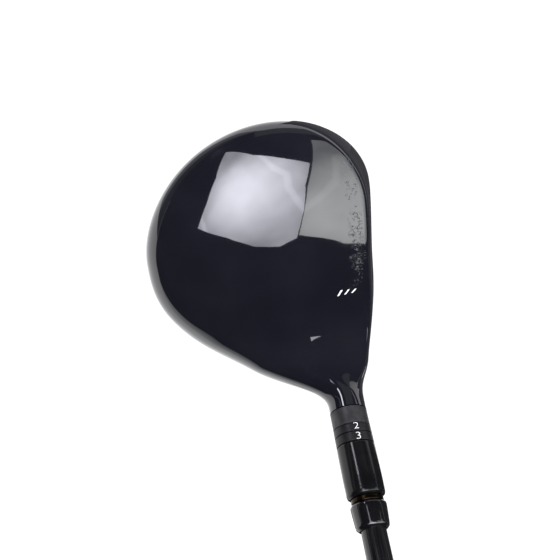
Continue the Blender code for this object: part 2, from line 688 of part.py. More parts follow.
def build_grip(looks, axis):
    """The rubber grip over its tape, and the vented cap that closes its butt."""
    tape_ends = [GRIP_FROM + 5, TAPER_TO, CLUB_LENGTH - 7]
    tape = [(shaft_radius(s) + 0.2, s) for s in tape_ends]
    tape += [(shaft_radius(s) + 0.45, s) for s in tape_ends[::-1]]
    lathe("grip_tape", tape, looks["paper"], axis, hollow=True)
    top = CLUB_LENGTH - CAP_FLANGE - GAP
    lip = shaft_radius(GRIP_FROM)
    mouth = [(lip + 0.7, GRIP_FROM), (lip + 2.0, GRIP_FROM + 1.2), (9.9, GRIP_FROM + 12)]
    hand = [(10.6, GRIP_FROM + 90), (11.6, GRIP_FROM + 190)]
    hand += [(CAP_R - 0.5, top - 12), (CAP_R, top - 4), (CAP_R, top)]
    inside = [(shaft_radius(s) + 0.7, s) for s in (top, TAPER_TO)]
    lathe("grip", mouth + hand + inside, looks["rubber"], axis, hollow=True)
    base = [(VENT_R, top + GAP), (CAP_R - 0.4, top + GAP), (CAP_R, top + GAP + 0.6)]
    dome = [(CAP_R - 0.2, CLUB_LENGTH - 1.2), (CAP_R - 1.2, CLUB_LENGTH - 0.2)]
    dome += [(CAP_R - 2, CLUB_LENGTH), (VENT_R, CLUB_LENGTH)]
    lathe("grip_cap", base + dome, looks["rubber"], axis, hollow=True)


# ---- the badge ----


def between(outline, outer_depth, inner_depth, name, look):
    """The part of the head's wall inside this outline, between two depths below its surface."""
    piece = prism(name, outline, -6, 9, look)
    boolean(piece, cutter(closed_skin(name + "_outer", inset(outer_depth), look)), "INTERSECT")
    boolean(piece, cutter(closed_skin(name + "_inner", inset(inner_depth), look)), "DIFFERENCE")
    return piece


def shield(margin):
    """Outline of the badge on the sole, grown by a margin."""
    centre = np.array(BADGE_XY)
    corners = [(11, -13), (11, 13), (-3, 17), (-13, 8), (-13, -8), (-3, -17)]
    return [tuple(centre + np.array(c) * (1 + margin / hypot(*c))) for c in corners]


def build_badge(looks, body):
    """A plain metal plate, let into the sole between the slot and the weight."""
    recess = between(shield(GAP), -1.0, 0.75, "badge_recess", looks["steel"])
    boolean(body, cutter(recess), "DIFFERENCE")
    between(shield(0.0), 0.08, 0.45, "sole_badge", looks["aluminium"])


def main():
    for made in list(bpy.data.objects):
        bpy.data.objects.remove(made, do_unlink=True)
    looks = {
        "black_paint": material("black_paint", (0.006, 0.007, 0.012), 0.06, 0.0),
        "satin_black": material("satin_black", (0.02, 0.02, 0.022), 0.35, 0.6),
        "steel": material("steel", (0.45, 0.45, 0.46), 0.35, 1.0),
        "aluminium": material("aluminium", (0.6, 0.61, 0.63), 0.3, 1.0),
        "brass": material("brass", (0.55, 0.38, 0.16), 0.3, 1.0),
        "polymer": material("polymer", (0.03, 0.03, 0.03), 0.5, 0.0),
        "gloss_plastic": material("gloss_plastic", (0.01, 0.01, 0.011), 0.12, 0.0),
        "graphite": material("graphite", (0.05, 0.05, 0.055), 0.22, 0.0),
        "rubber": material("rubber", (0.015, 0.015, 0.016), 0.8, 0.0),
        "paper": material("paper", (0.7, 0.66, 0.55), 0.7, 0.0),
    }
    axis = empty("shaft_axis", AXIS_FOOT, (radians(90 - LIE), 0, 0))
    sole_there = SKIN[:, SOLE_START:].reshape(-1, 3)
    nearest = sole_there[np.argmin(((sole_there[:, :2] - WEIGHT_XY) ** 2).sum(axis=1))]
    weight_axis = empty("weight_axis", (*WEIGHT_XY, nearest[2] + 0.5), (0, radians(WEIGHT_TILT), 0))
    body = build_head(looks, axis, weight_axis)
    build_badge(looks, body)
    build_inside(looks)
    build_rings(looks["satin_black"], axis)
    build_sleeve(looks, axis)
    build_ferrule(looks, axis)
    build_bolt(looks, axis)
    build_weight(looks, weight_axis)
    build_shaft(looks, axis)
    build_grip(looks, axis)


main()
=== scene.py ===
"""Looks of a left-handed fairway wood: fine surfaces, finishes, studio light and camera.

The frame's axes are +X target, +Y toe, +Z up, with the origin under the sole. The surfaces are
worked out in millimetres, as in the part, and become metres when a mesh is made.
"""

from math import cos, hypot, pi, radians, sin, tan

import bmesh
import bpy
import numpy as np
from mathutils import Matrix, Vector
from mathutils.bvhtree import BVHTree
from mathutils.geometry import barycentric_transform


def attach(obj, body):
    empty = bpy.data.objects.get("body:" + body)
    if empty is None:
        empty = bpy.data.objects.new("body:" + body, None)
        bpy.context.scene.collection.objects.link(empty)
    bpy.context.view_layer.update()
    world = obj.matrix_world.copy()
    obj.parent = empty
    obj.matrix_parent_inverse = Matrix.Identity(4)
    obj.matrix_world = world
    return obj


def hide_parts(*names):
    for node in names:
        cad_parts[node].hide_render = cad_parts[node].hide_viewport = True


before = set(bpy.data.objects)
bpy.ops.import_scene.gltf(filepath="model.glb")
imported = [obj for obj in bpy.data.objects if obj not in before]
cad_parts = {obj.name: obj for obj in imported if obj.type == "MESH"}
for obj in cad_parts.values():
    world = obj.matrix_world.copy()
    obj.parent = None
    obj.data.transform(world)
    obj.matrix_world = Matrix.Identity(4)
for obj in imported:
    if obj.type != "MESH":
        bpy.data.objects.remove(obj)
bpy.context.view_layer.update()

MM = 0.001
GAP = 0.3

# ---- the part's driving dimensions, in millimetres and degrees ----
LIE = 57.0
LOFT = 15.0
AXIS_Y = -22.0
CLUB_LENGTH = 1092.0
TOE_X, TOE_Y, TOE_Z = -18.2, 47.7, 19.5
BACK_X = -68.0
BACK_ROUNDS_FROM, FRONT_ROUNDS_FROM, HEIGHT_ROUNDS_FROM = -1.0, 18.6, 8.0
TOPLINE_X = 13.0
FACE_BULGE = 280.0
FACE_ROLL = 0.45
TOPLINE_ROUND = 3.0
LEADING_ROUND = 5.0
CROWN_WALL, BODY_WALL, FACE_WALL, HOSEL_WALL = 0.8, 1.3, 2.4, 0.95
HOSEL_R = 6.7
BEND_R = 20.0
HOSEL_TOP = 58.7

# ---- stations along the shaft axis, from the ground ----
TUBE_FROM = 10.4
SEAT_FROM = 16.0
COLLAR_TO = 65.3
UPPER_RING_TO = 68.5
RINGS_TO = 71.9
SLEEVE_FROM, SLEEVE_TO = 28.0, 90.4
SHAFT_FROM = 44.5
FERRULE_FROM, FERRULE_TO = 92.6, 101.2
PARALLEL_TO = SHAFT_FROM + 90.0
TAPER_TO = CLUB_LENGTH - 60.0
GRIP_FROM = CLUB_LENGTH - 268.0
CAP_FLANGE = 3.2
CAP_R = 13.4
VENT_R = 1.3

BOLT_R, BOLT_HEAD_R, BOLT_HEAD_HEIGHT = 2.35, 4.0, 4.4
BOLT_HEAD_TO, BOLT_TO = SEAT_FROM - 1.5, SHAFT_FROM - 5.0
SOCKET_FLATS = 4.0
PORT_R, TUBE_R = 4.7, 6.4
SLEEVE_R, SHOULDER_R = 5.4, 6.8
SHAFT_TIP_R, SHAFT_BUTT_R = 4.25, 7.6
TIP_WALL, SHAFT_WALL = 1.7, 1.1

WEIGHT_XY = (-46.0, 0.0)
WEIGHT_TILT = 13.0
WEIGHT_R, WEIGHT_HEAD, WEIGHT_SHANK_R, WEIGHT_DEPTH = 7.0, 2.8, 2.6, 9.0
WELL_R, WELL_DEPTH, BOSS_WALL = WEIGHT_R + GAP, WEIGHT_HEAD + 1.6, 1.3
SLOT_X, SLOT_Y, SLOT_LENGTH, SLOT_WIDTH = 9.0, -1.0, 46.0, 4.4
BADGE_XY = (-21.0, 0.0)

# ---- how finely the surfaces are made ----
FINE = 5  # times as many points each way as the part has
ALONG_TOE, ALONG_BODY, ALONG_BEND = 10 * FINE, 6 * FINE, 15 * FINE
AROUND = {"crown": 12 * FINE, "topline": 2 * FINE, "face": 5 * FINE, "leading": 2 * FINE, "sole": 12 * FINE}
ROUND = 96  # segments of a turned piece

AXIS = np.array([0.0, -cos(radians(LIE)), sin(radians(LIE))])
AXIS_FOOT = np.array([0.0, AXIS_Y, 0.0])
BEND_TO_AXIS = BEND_R + HOSEL_R
BEND_LENGTH, BEND_EASE = 40.0, 10.0
HOSEL_SPAN = 6.2


# ---- the head's surface, as in the part ----


def through(points):
    """The natural cubic spline through (position, value) pairs, straight on past its ends."""
    at, value = (np.array(column, float) for column in zip(*sorted(points)))
    steps = np.diff(at)
    rises = np.diff(value) / steps
    bends = np.zeros(len(at))  # second derivatives, 0 at both ends
    system = np.diag(2 * (steps[:-1] + steps[1:]))
    system += np.diag(steps[1:-1], 1) + np.diag(steps[1:-1], -1)
    bends[1:-1] = np.linalg.solve(system, 6 * np.diff(rises))

    def evaluate(position):
        k = int(np.clip(np.searchsorted(at, position) - 1, 0, len(steps) - 1))
        h = steps[k]
        a, b = (at[k + 1] - position) / h, (position - at[k]) / h
        curve = ((a**3 - a) * bends[k] + (b**3 - b) * bends[k + 1]) * h * h / 6
        return a * value[k] + b * value[k + 1] + curve

    return evaluate


def ramp(t):
    t = np.clip(t, 0.0, 1.0)
    return t * t * (3 - 2 * t)


def bend_path(steps=400):
    """Travel into the bend, the sections' turn, and how far the line they turn about has moved."""
    into = np.linspace(0, BEND_LENGTH + HOSEL_SPAN, steps)
    turning = ramp(into / BEND_EASE) * (1 - ramp((into - BEND_LENGTH + BEND_EASE) / BEND_EASE))
    step = into[1] - into[0]
    turn = np.cumsum(turning) * step * radians(LIE) / (BEND_LENGTH - BEND_EASE)
    heelward = -np.cumsum((1 - turning) * np.cos(turn)) * step
    upward = np.cumsum((1 - turning) * np.sin(turn)) * step
    return into, turn, heelward, upward


INTO, TURN, HEELWARD, UPWARD = bend_path()
BEND_Y = AXIS_Y + AXIS[1] * HOSEL_TOP + BEND_TO_AXIS * sin(radians(LIE)) - HEELWARD[-1]
BEND_Z = AXIS[2] * HOSEL_TOP + BEND_TO_AXIS * cos(radians(LIE)) - UPWARD[-1]
HOSEL_END = BEND_Y - BEND_LENGTH - HOSEL_SPAN
ROUNDING_FROM, ROUNDING_TO = BEND_Y - 24.0, HOSEL_END + 2.2
AXIS_H = BEND_Z - BEND_TO_AXIS
ROUND_45 = HOSEL_R * cos(radians(45))


def bulged(y):
    return TOPLINE_X - (y + 5.0) ** 2 / (2 * FACE_BULGE)


def face_run(height):
    return height * tan(radians(LOFT))


TOP_H, LEAD_H = 31.5, 0.8
B0, B1, B2, B3 = BEND_Y, BEND_Y - 14.0, BEND_Y - 25.0, BEND_Y - 34.0
section_back_x = through(
    [(TOE_Y, BACK_X), (18, BACK_X), (-1, BACK_X), (B0, -63.3), (B1, -49.2), (B2, -30.3),
     (B3, -20.8), (HOSEL_END, -HOSEL_R)]
)
section_back_h = through(
    [(TOE_Y, 19.5), (-1, 18.5), (B0, 18.5), (B1, 19.0), (B2, 22.0), (B3, 25.0), (HOSEL_END, AXIS_H)]
)
section_top_x = through(
    [(TOE_Y, bulged(TOE_Y)), (18, bulged(18)), (-5, bulged(-5)), (B0, 13.8), (B1, 12.8),
     (B2, 11.0), (B3, 9.6), (HOSEL_END, ROUND_45)]
)
section_top_h = through(
    [(TOE_Y, TOP_H - 1.5), (18, TOP_H - 0.5), (-5, TOP_H), (B0, TOP_H - 0.5), (B1, TOP_H - 0.2),
     (B2, 31.8), (B3, 32.2), (HOSEL_END, AXIS_H + ROUND_45)]
)
section_lead_x = through(
    [(TOE_Y, bulged(TOE_Y) + face_run(28)), (18, bulged(18) + face_run(30)),
     (-5, bulged(-5) + face_run(TOP_H - LEAD_H)), (B0, 13.8 + face_run(30)), (B1, 19.0),
     (B2, 14.0), (B3, 9.8), (HOSEL_END, ROUND_45)]
)
section_lead_h = through(
    [(TOE_Y, 3.0), (18, 1.4), (-5, LEAD_H), (B0, 1.5), (B1, 4.0), (B2, 11.0), (B3, 18.0),
     (HOSEL_END, AXIS_H - ROUND_45)]
)
crown_rise = through(
    [(TOE_Y, 8.0), (18, 11.0), (-5, 11.5), (B0, 9.5), (B1, 7.0), (B2, 5.0), (HOSEL_END, 2.0)]
)
sole_drop = through([(TOE_Y, 2.4), (18, 2.7), (-1, 2.9), (B0, 2.5), (B1, 2.0), (HOSEL_END, 1.0)])


def closing(y, start, power):
    """1 up to start, then down to 0 at the toe as a rounded end."""
    along = min(max((y - start) / (TOE_Y - start), 0.0), 1.0)
    return (1 - along**power) ** (1 / power)


def bezier(a, b, c, d, steps):
    for k in range(steps):
        t = k / steps
        yield (1 - t) ** 3 * a + 3 * t * (1 - t) ** 2 * b + 3 * t * t * (1 - t) * c + t**3 * d


def corner(start, tip, end, steps):
    """The short curve that rounds the corner at tip."""
    return bezier(start, (start + 2 * tip) / 3, (end + 2 * tip) / 3, end, steps)


def toward(a, b, distance):
    """The point at this distance from a toward b, at most 40% of the way."""
    step = b - a
    length = max(hypot(*step), 1e-9)
    return a + step * min(distance / length, 0.4)


def section(travel):
    """The closed outline (x, height) at this travel, from the back round over the crown."""
    back = closing(travel, BACK_ROUNDS_FROM, 1.93)
    front = closing(travel, FRONT_ROUNDS_FROM, 2.17)
    tall = closing(travel, HEIGHT_ROUNDS_FROM, 2.0)

    def at(x, h, side):
        return np.array([TOE_X + (x - TOE_X) * side, TOE_Z + (h - TOE_Z) * tall])

    rear = at(section_back_x(travel), section_back_h(travel), back)
    top = at(section_top_x(travel), section_top_h(travel), front)
    lead = at(section_lead_x(travel), section_lead_h(travel), front)
    rise, drop = crown_rise(travel) * tall, sole_drop(travel) * tall

    crown_width, sole_width = top[0] - rear[0], lead[0] - rear[0]
    crown_b = top + np.array([-0.55 * crown_width, rise])
    crown_a = rear + np.array([0, 0.62 * (crown_b[1] - rear[1])])
    sole_a = lead + np.array([-0.45 * sole_width, -drop])
    sole_b = rear + np.array([0, 0.74 * (sole_a[1] - rear[1])])

    top_in, top_out = toward(top, crown_b, TOPLINE_ROUND), toward(top, lead, TOPLINE_ROUND)
    lead_in, lead_out = toward(lead, top, LEADING_ROUND), toward(lead, sole_a, LEADING_ROUND)
    roll = np.array([FACE_ROLL * front, 0])
    third = (lead_in - top_out) / 3

    points = []
    points += bezier(rear, crown_a, crown_b, top_in, AROUND["crown"])
    points += corner(top_in, top, top_out, AROUND["topline"])
    points += bezier(top_out, top_out + third + roll, lead_in - third + roll, lead_in, AROUND["face"])
    points += corner(lead_in, lead, lead_out, AROUND["leading"])
    points += bezier(lead_out, sole_a, sole_b, rear, AROUND["sole"])
    return np.array(points)


def hosel_circle():
    """The round section, with its points where the head's sections have their own."""
    corners = [180, 55, 35, -35, -55, -180]
    points = []
    for (start, end), count in zip(zip(corners, corners[1:]), AROUND.values()):
        for k in range(count):
            angle = radians(start + (end - start) * k / count)
            points.append([HOSEL_R * cos(angle), AXIS_H + HOSEL_R * sin(angle)])
    return np.array(points)


def placed(outline, travel):
    """Section points in the world: upright before the bend, turned about its centre line in it."""
    into = BEND_Y - travel
    turn = np.interp(into, INTO, TURN)
    below = BEND_Z - outline[:, 1]
    y = max(travel, BEND_Y) + np.interp(into, INTO, HEELWARD) - sin(turn) * below
    z = BEND_Z + np.interp(into, INTO, UPWARD) - cos(turn) * below
    return np.stack([outline[:, 0], y, z], axis=1)


def travels():
    """Travel of each section, closer together at the toe, where the surface closes."""
    shoulder = 8.0
    toe = [shoulder + (TOE_Y - shoulder) * cos(pi / 2 * k / ALONG_TOE) for k in range(ALONG_TOE)]
    body = np.linspace(shoulder, BEND_Y, ALONG_BODY, endpoint=False)
    bend = np.linspace(BEND_Y, HOSEL_END, ALONG_BEND + 1)
    return np.concatenate([toe, body, bend])


TRAVELS = travels()
LAST = len(TRAVELS) - 1
BEND_START = ALONG_TOE + ALONG_BODY
EDGES = np.cumsum([0] + list(AROUND.values()))
CROWN_END, FACE_START, FACE_END, SOLE_START, WHOLE = (int(n) for n in EDGES[1:])
CROWN_ROWS, CROWN_COLUMNS = (2 * FINE, BEND_START + 3 * FINE), (FINE, CROWN_END)
FACE_ROWS, FACE_COLUMNS = (5 * FINE, BEND_START), (FACE_START, FACE_END)


def outer_skin():
    """Grid of the head's outer points: [section along the head, point round the section]."""
    circle = hosel_circle()
    rows = []
    for travel in TRAVELS:
        share = ramp((ROUNDING_FROM - travel) / (ROUNDING_FROM - ROUNDING_TO))
        rows.append(placed((1 - share) * section(travel) + share * circle, travel))
    return np.array(rows)


def skin_normals(grid):
    """Outward unit normals of the grid's points."""
    around = np.roll(grid, -1, axis=1) - np.roll(grid, 1, axis=1)
    along = np.gradient(grid, axis=0)
    along[0] = grid[1] - grid[0]
    normals = np.cross(along, around)
    normals[0] = (0, 1, 0)
    return normals / np.maximum(np.linalg.norm(normals, axis=2, keepdims=True), 1e-9)


SKIN = outer_skin()
NORMALS = skin_normals(SKIN)
if ((SKIN[5] - SKIN[5].mean(axis=0)) * NORMALS[5]).sum() < 0:
    NORMALS[1:] *= -1


def inset(depth):
    """The grid moved inward by depth, a number or one for each section."""
    depths = np.broadcast_to(np.asarray(depth, float), (LAST + 1,))
    return SKIN - NORMALS * depths[:, None, None]


# ---- making meshes ----

ACROSS = np.array([1.0, 0.0, 0.0])
OVER = np.cross(AXIS, ACROSS)  # square to the shaft, up and toward the toe


def on_axis(radius, angle, station):
    """The point at this radius, angle (from +X over the top) and station of the shaft axis."""
    return AXIS_FOOT + AXIS * station + (ACROSS * cos(angle) + OVER * sin(angle)) * radius


def made(name, points, faces, look=None):
    """An object of these points, in millimetres, and faces, shaded smooth."""
    mesh = bpy.data.meshes.new(name)
    mesh.from_pydata([tuple(p) for p in np.asarray(points) * MM], [], faces)
    bm = bmesh.new()
    bm.from_mesh(mesh)
    bmesh.ops.recalc_face_normals(bm, faces=bm.faces)
    bm.to_mesh(mesh)
    bm.free()
    piece = bpy.data.objects.new(name, mesh)
    bpy.context.scene.collection.objects.link(piece)
    if look:
        mesh.materials.append(look)
    mesh.shade_smooth()
    mesh.set_sharp_from_angle(angle=radians(40))
    return piece


def settle(piece):
    """Applies the piece's modifiers."""
    graph = bpy.context.evaluated_depsgraph_get()
    mesh = bpy.data.meshes.new_from_object(piece.evaluated_get(graph), depsgraph=graph)
    piece.modifiers.clear()
    piece.data = mesh
    mesh.shade_smooth()
    mesh.set_sharp_from_angle(angle=radians(40))
    return piece


def combine(piece, operation, tool):
    """Cuts, joins or trims the piece with the tool, which is then gone."""
    step = piece.modifiers.new(operation, "BOOLEAN")
    step.object = tool
    step.operation = operation
    settle(piece)
    bpy.data.objects.remove(tool)
    return piece


def even_shading(piece):
    """Flat stretches shade flat, and the small rounded corners take the turn."""
    step = piece.modifiers.new("even_shading", "WEIGHTED_NORMAL")
    step.keep_sharp = True
    return piece


def softened(profile, radius, steps=4, closed=True):
    """The profile with its corners rounded, those on the axis left as they are."""
    count = len(profile)
    points = [np.array(p, float) for p in profile]
    out = []
    for k, here in enumerate(points):
        ends = not closed and k in (0, count - 1)
        if ends or here[0] == 0:
            out.append(here)
            continue
        start = toward(here, points[k - 1], radius)
        end = toward(here, points[(k + 1) % count], radius)
        out += corner(start, here, end, steps)
        out.append(end)
    return out


def turned(name, profile, look=None, radius=0.0, hollow=True, place=on_axis):
    """Turns (radius, station) points about the shaft axis, or another that place gives."""
    profile = softened(profile, radius, closed=hollow) if radius else profile
    points, rings = [], []
    for r, s in profile:
        count = 1 if r == 0 else ROUND
        rings.append(range(len(points), len(points) + count))
        points += [place(r, 2 * pi * k / ROUND, s) for k in range(count)]
    faces = []
    for low, high in zip(rings, rings[1:] + rings[:1] if hollow else rings[1:]):
        for k in range(ROUND):
            n = (k + 1) % ROUND
            if len(low) == 1 and len(high) == 1:
                break
            if len(low) == 1:
                faces.append((low[0], high[n], high[k]))
            elif len(high) == 1:
                faces.append((low[k], low[n], high[0]))
            else:
                faces.append((low[k], low[n], high[n], high[k]))
    return made(name, points, faces, look)


def cylinder(radius, start, end):
    """Profile of a solid cylinder."""
    return [(0, start), (radius, start), (radius, end), (0, end)]


def upright(x, y, z):
    return np.array([x, y, z])


def prism(name, outline, low, high, look=None, place=upright):
    """A straight-sided solid on an outline of (x, y) points, from low to high."""
    count = len(outline)
    points = [place(x, y, low) for x, y in outline] + [place(x, y, high) for x, y in outline]
    faces = [tuple(range(count)), tuple(range(count, 2 * count))]
    faces += [(k, (k + 1) % count, count + (k + 1) % count, count + k) for k in range(count)]
    return made(name, points, faces, look)


def hexagon(across_flats):
    radius = across_flats / 2 / cos(pi / 6)
    return [(radius * cos(k * pi / 3), radius * sin(k * pi / 3)) for k in range(6)]


def stadium(x, y, length, width, steps=24):
    """Outline of a slot along Y with round ends."""
    r, half = width / 2, (length - width) / 2
    ends = []
    for side in (1, -1):
        for k in range(steps + 1):
            angle = pi * k / steps + (0 if side > 0 else pi)
            ends.append((x + r * cos(angle), y + side * half + r * sin(angle)))
    return ends


def axis_flat(x, y, station):
    """A point of an outline drawn square to the shaft axis."""
    return AXIS_FOOT + AXIS * station + ACROSS * x + OVER * y


# ---- the head's shells ----


def closed_skin(name, grid):
    """The whole grid as one solid: a point at the toe and a flat end at the hosel."""
    points = np.concatenate([grid[0].mean(axis=0)[None], grid[1:].reshape(-1, 3)])
    faces = []
    for k in range(WHOLE):
        faces.append((0, 1 + k, 1 + (k + 1) % WHOLE))
    for j in range(LAST - 1):
        low, high = 1 + j * WHOLE, 1 + (j + 1) * WHOLE
        for k in range(WHOLE):
            n = (k + 1) % WHOLE
            faces.append((low + k, high + k, high + n, low + n))
    faces.append(tuple(1 + (LAST - 1) * WHOLE + k for k in range(WHOLE)))
    return made(name, points, faces)


def plate(name, rows, columns, wall, look):
    """The curved plate under this patch of the skin, wall millimetres thick."""
    patches = [grid[rows[0]: rows[1] + 1, columns[0]: columns[1] + 1] for grid in (SKIN, inset(wall))]
    height, width = patches[0].shape[:2]
    points = np.concatenate([patch.reshape(-1, 3) for patch in patches])
    under = height * width
    faces = []
    for j in range(height - 1):
        for k in range(width - 1):
            a, b = j * width + k, (j + 1) * width + k
            faces.append((a, b, b + 1, a + 1))
            faces.append((a + under, a + under + 1, b + under + 1, b + under))
    rim = [k for k in range(width)] + [j * width + width - 1 for j in range(1, height)]
    rim += [(height - 1) * width + k for k in reversed(range(width - 1))]
    rim += [j * width for j in reversed(range(1, height - 1))]
    for a, b in zip(rim, rim[1:] + rim[:1]):
        faces.append((a, b, b + under, a + under))
    return made(name, points, faces, look)


def in_patch(j, k, rows, columns):
    return rows[0] <= j < rows[1] and columns[0] <= k < columns[1]


def shell(name, look):
    """Skirt, sole, toe and hosel as one wall, open where the crown and the face plate sit."""
    walls = np.full(LAST + 1, BODY_WALL)
    bend = TRAVELS < BEND_Y
    walls[bend] = np.interp(-TRAVELS[bend], [-BEND_Y, -HOSEL_END], [BODY_WALL, HOSEL_WALL])
    sheets = []
    points = []
    for grid in (SKIN, inset(walls)):
        sheets.append(len(points))
        points += [grid[0].mean(axis=0)] + list(grid[1:].reshape(-1, 3))

    def at(sheet, j, k):
        return sheets[sheet] + (0 if j == 0 else 1 + (j - 1) * WHOLE + k % WHOLE)

    kept = set()
    for j in range(LAST):
        for k in range(WHOLE):
            under_crown = in_patch(j, k, CROWN_ROWS, CROWN_COLUMNS)
            if not under_crown and not in_patch(j, k, FACE_ROWS, FACE_COLUMNS):
                kept.add((j, k))
    faces = []
    for j, k in sorted(kept):
        for sheet in (0, 1):
            ring = [at(sheet, j + a, k + b) for a, b in ((0, 0), (1, 0), (1, 1), (0, 1))]
            faces.append(tuple(ring[:3] if j == 0 else ring))
        n = (k + 1) % WHOLE
        sides = (
            ((j, (k - 1) % WHOLE), (j, k), (j + 1, k)),
            ((j, n), (j + 1, k + 1), (j, k + 1)),
            ((j - 1, k), (j, k), (j, k + 1)),
            ((j + 1, k), (j + 1, k), (j + 1, k + 1)),
        )
        for beyond, a, b in sides:
            if beyond in kept or beyond[0] < 0:
                continue
            faces.append((at(0, *a), at(0, *b), at(1, *b), at(1, *a)))
    used = sorted({v for face in faces for v in face})
    new = {v: k for k, v in enumerate(used)}
    return made(name, np.array(points)[used], [tuple(new[v] for v in face) for face in faces], look)


def skin_lookup():
    """The skin as triangles, with the exact normal of each corner."""
    points = [Vector(p) for p in SKIN.reshape(-1, 3) * MM]
    normals = [Vector(n) for n in NORMALS.reshape(-1, 3)]
    triangles = []
    for j in range(LAST):
        for k in range(WHOLE):
            a, b = j * WHOLE + k, j * WHOLE + (k + 1) % WHOLE
            triangles += [(a, a + WHOLE, b + WHOLE), (a, b + WHOLE, b)]
    return points, normals, triangles, BVHTree.FromPolygons(points, triangles)


SKIN_POINTS, SKIN_NORMALS, SKIN_TRIANGLES, SKIN_TREE = skin_lookup()


def exact_normal(point):
    """The skin's normal at the point of it nearest to this one, and how far away that is."""
    found, _, index, distance = SKIN_TREE.find_nearest(point)
    corners = SKIN_TRIANGLES[index]
    from_there = [SKIN_POINTS[c] for c in corners]
    return barycentric_transform(found, *from_there, *[SKIN_NORMALS[c] for c in corners]), distance


def shade_as_skin(piece):
    """Corners on the outer skin take its exact normals, so that the reflections run on unbroken
    from one shell to the next."""
    mesh = piece.data
    normals = [Vector(n.vector) for n in mesh.corner_normals]
    exact = {}
    for polygon in mesh.polygons:
        for loop in polygon.loop_indices:
            vertex = mesh.loops[loop].vertex_index
            if vertex not in exact:
                exact[vertex] = exact_normal(mesh.vertices[vertex].co)
            normal, distance = exact[vertex]
            if distance < 0.02 * MM and normal.dot(polygon.normal) > 0.85:
                normals[loop] = normal.normalized()
    mesh.normals_split_custom_set(normals)
    return piece


def weight_frame():
    """Where the weight's axis meets the sole, and the axes of the weight's own frame."""
    sole = SKIN[::FINE, SOLE_START::FINE].reshape(-1, 3)
    nearest = sole[np.argmin(((sole[:, :2] - WEIGHT_XY) ** 2).sum(axis=1))]
    tilt = radians(WEIGHT_TILT)
    inward = np.array([sin(tilt), 0, cos(tilt)])
    along = np.array([cos(tilt), 0, -sin(tilt)])
    return np.array([*WEIGHT_XY, nearest[2] + 0.5]), along, np.array([0, 1.0, 0]), inward


WEIGHT_AT, WEIGHT_X, WEIGHT_Y, WEIGHT_IN = weight_frame()


def on_weight(radius, angle, depth):
    return WEIGHT_AT + WEIGHT_IN * depth + (WEIGHT_X * cos(angle) + WEIGHT_Y * sin(angle)) * radius


def weight_flat(x, y, depth):
    return WEIGHT_AT + WEIGHT_IN * depth + WEIGHT_X * x + WEIGHT_Y * y


def between(outline, outer_depth, inner_depth, name, look=None):
    """The part of the head's wall inside this outline, between two depths below its surface."""
    piece = prism(name, outline, -6, 9, look)
    combine(piece, "INTERSECT", closed_skin("outer_limit", inset(outer_depth)))
    return combine(piece, "DIFFERENCE", closed_skin("inner_limit", inset(inner_depth)))


def shield(margin, size=1.0):
    """Outline of the badge on the sole, grown by a margin."""
    centre = np.array(BADGE_XY)
    corners = [(11, -13), (11, 13), (-3, 17), (-13, 8), (-13, -8), (-3, -17)]
    return [tuple(centre + size * np.array(c) * (1 + margin / hypot(*c))) for c in corners]


# ---- material building blocks ----


def new_look(name, rough, colour=(0.5, 0.5, 0.5), metallic=0.0, **sockets):
    """A material with its constant values on the shader's own sockets."""
    look = bpy.data.materials.new(name)
    look.use_nodes = True
    nodes = look.node_tree.nodes
    shader = nodes["Principled BSDF"]
    shader.inputs["Base Color"].default_value = (*colour, 1)
    shader.inputs["Roughness"].default_value = rough
    shader.inputs["Metallic"].default_value = metallic
    for socket, value in sockets.items():
        shader.inputs[socket.replace("_", " ")].default_value = value
    return look, Nodes(look.node_tree, shader)


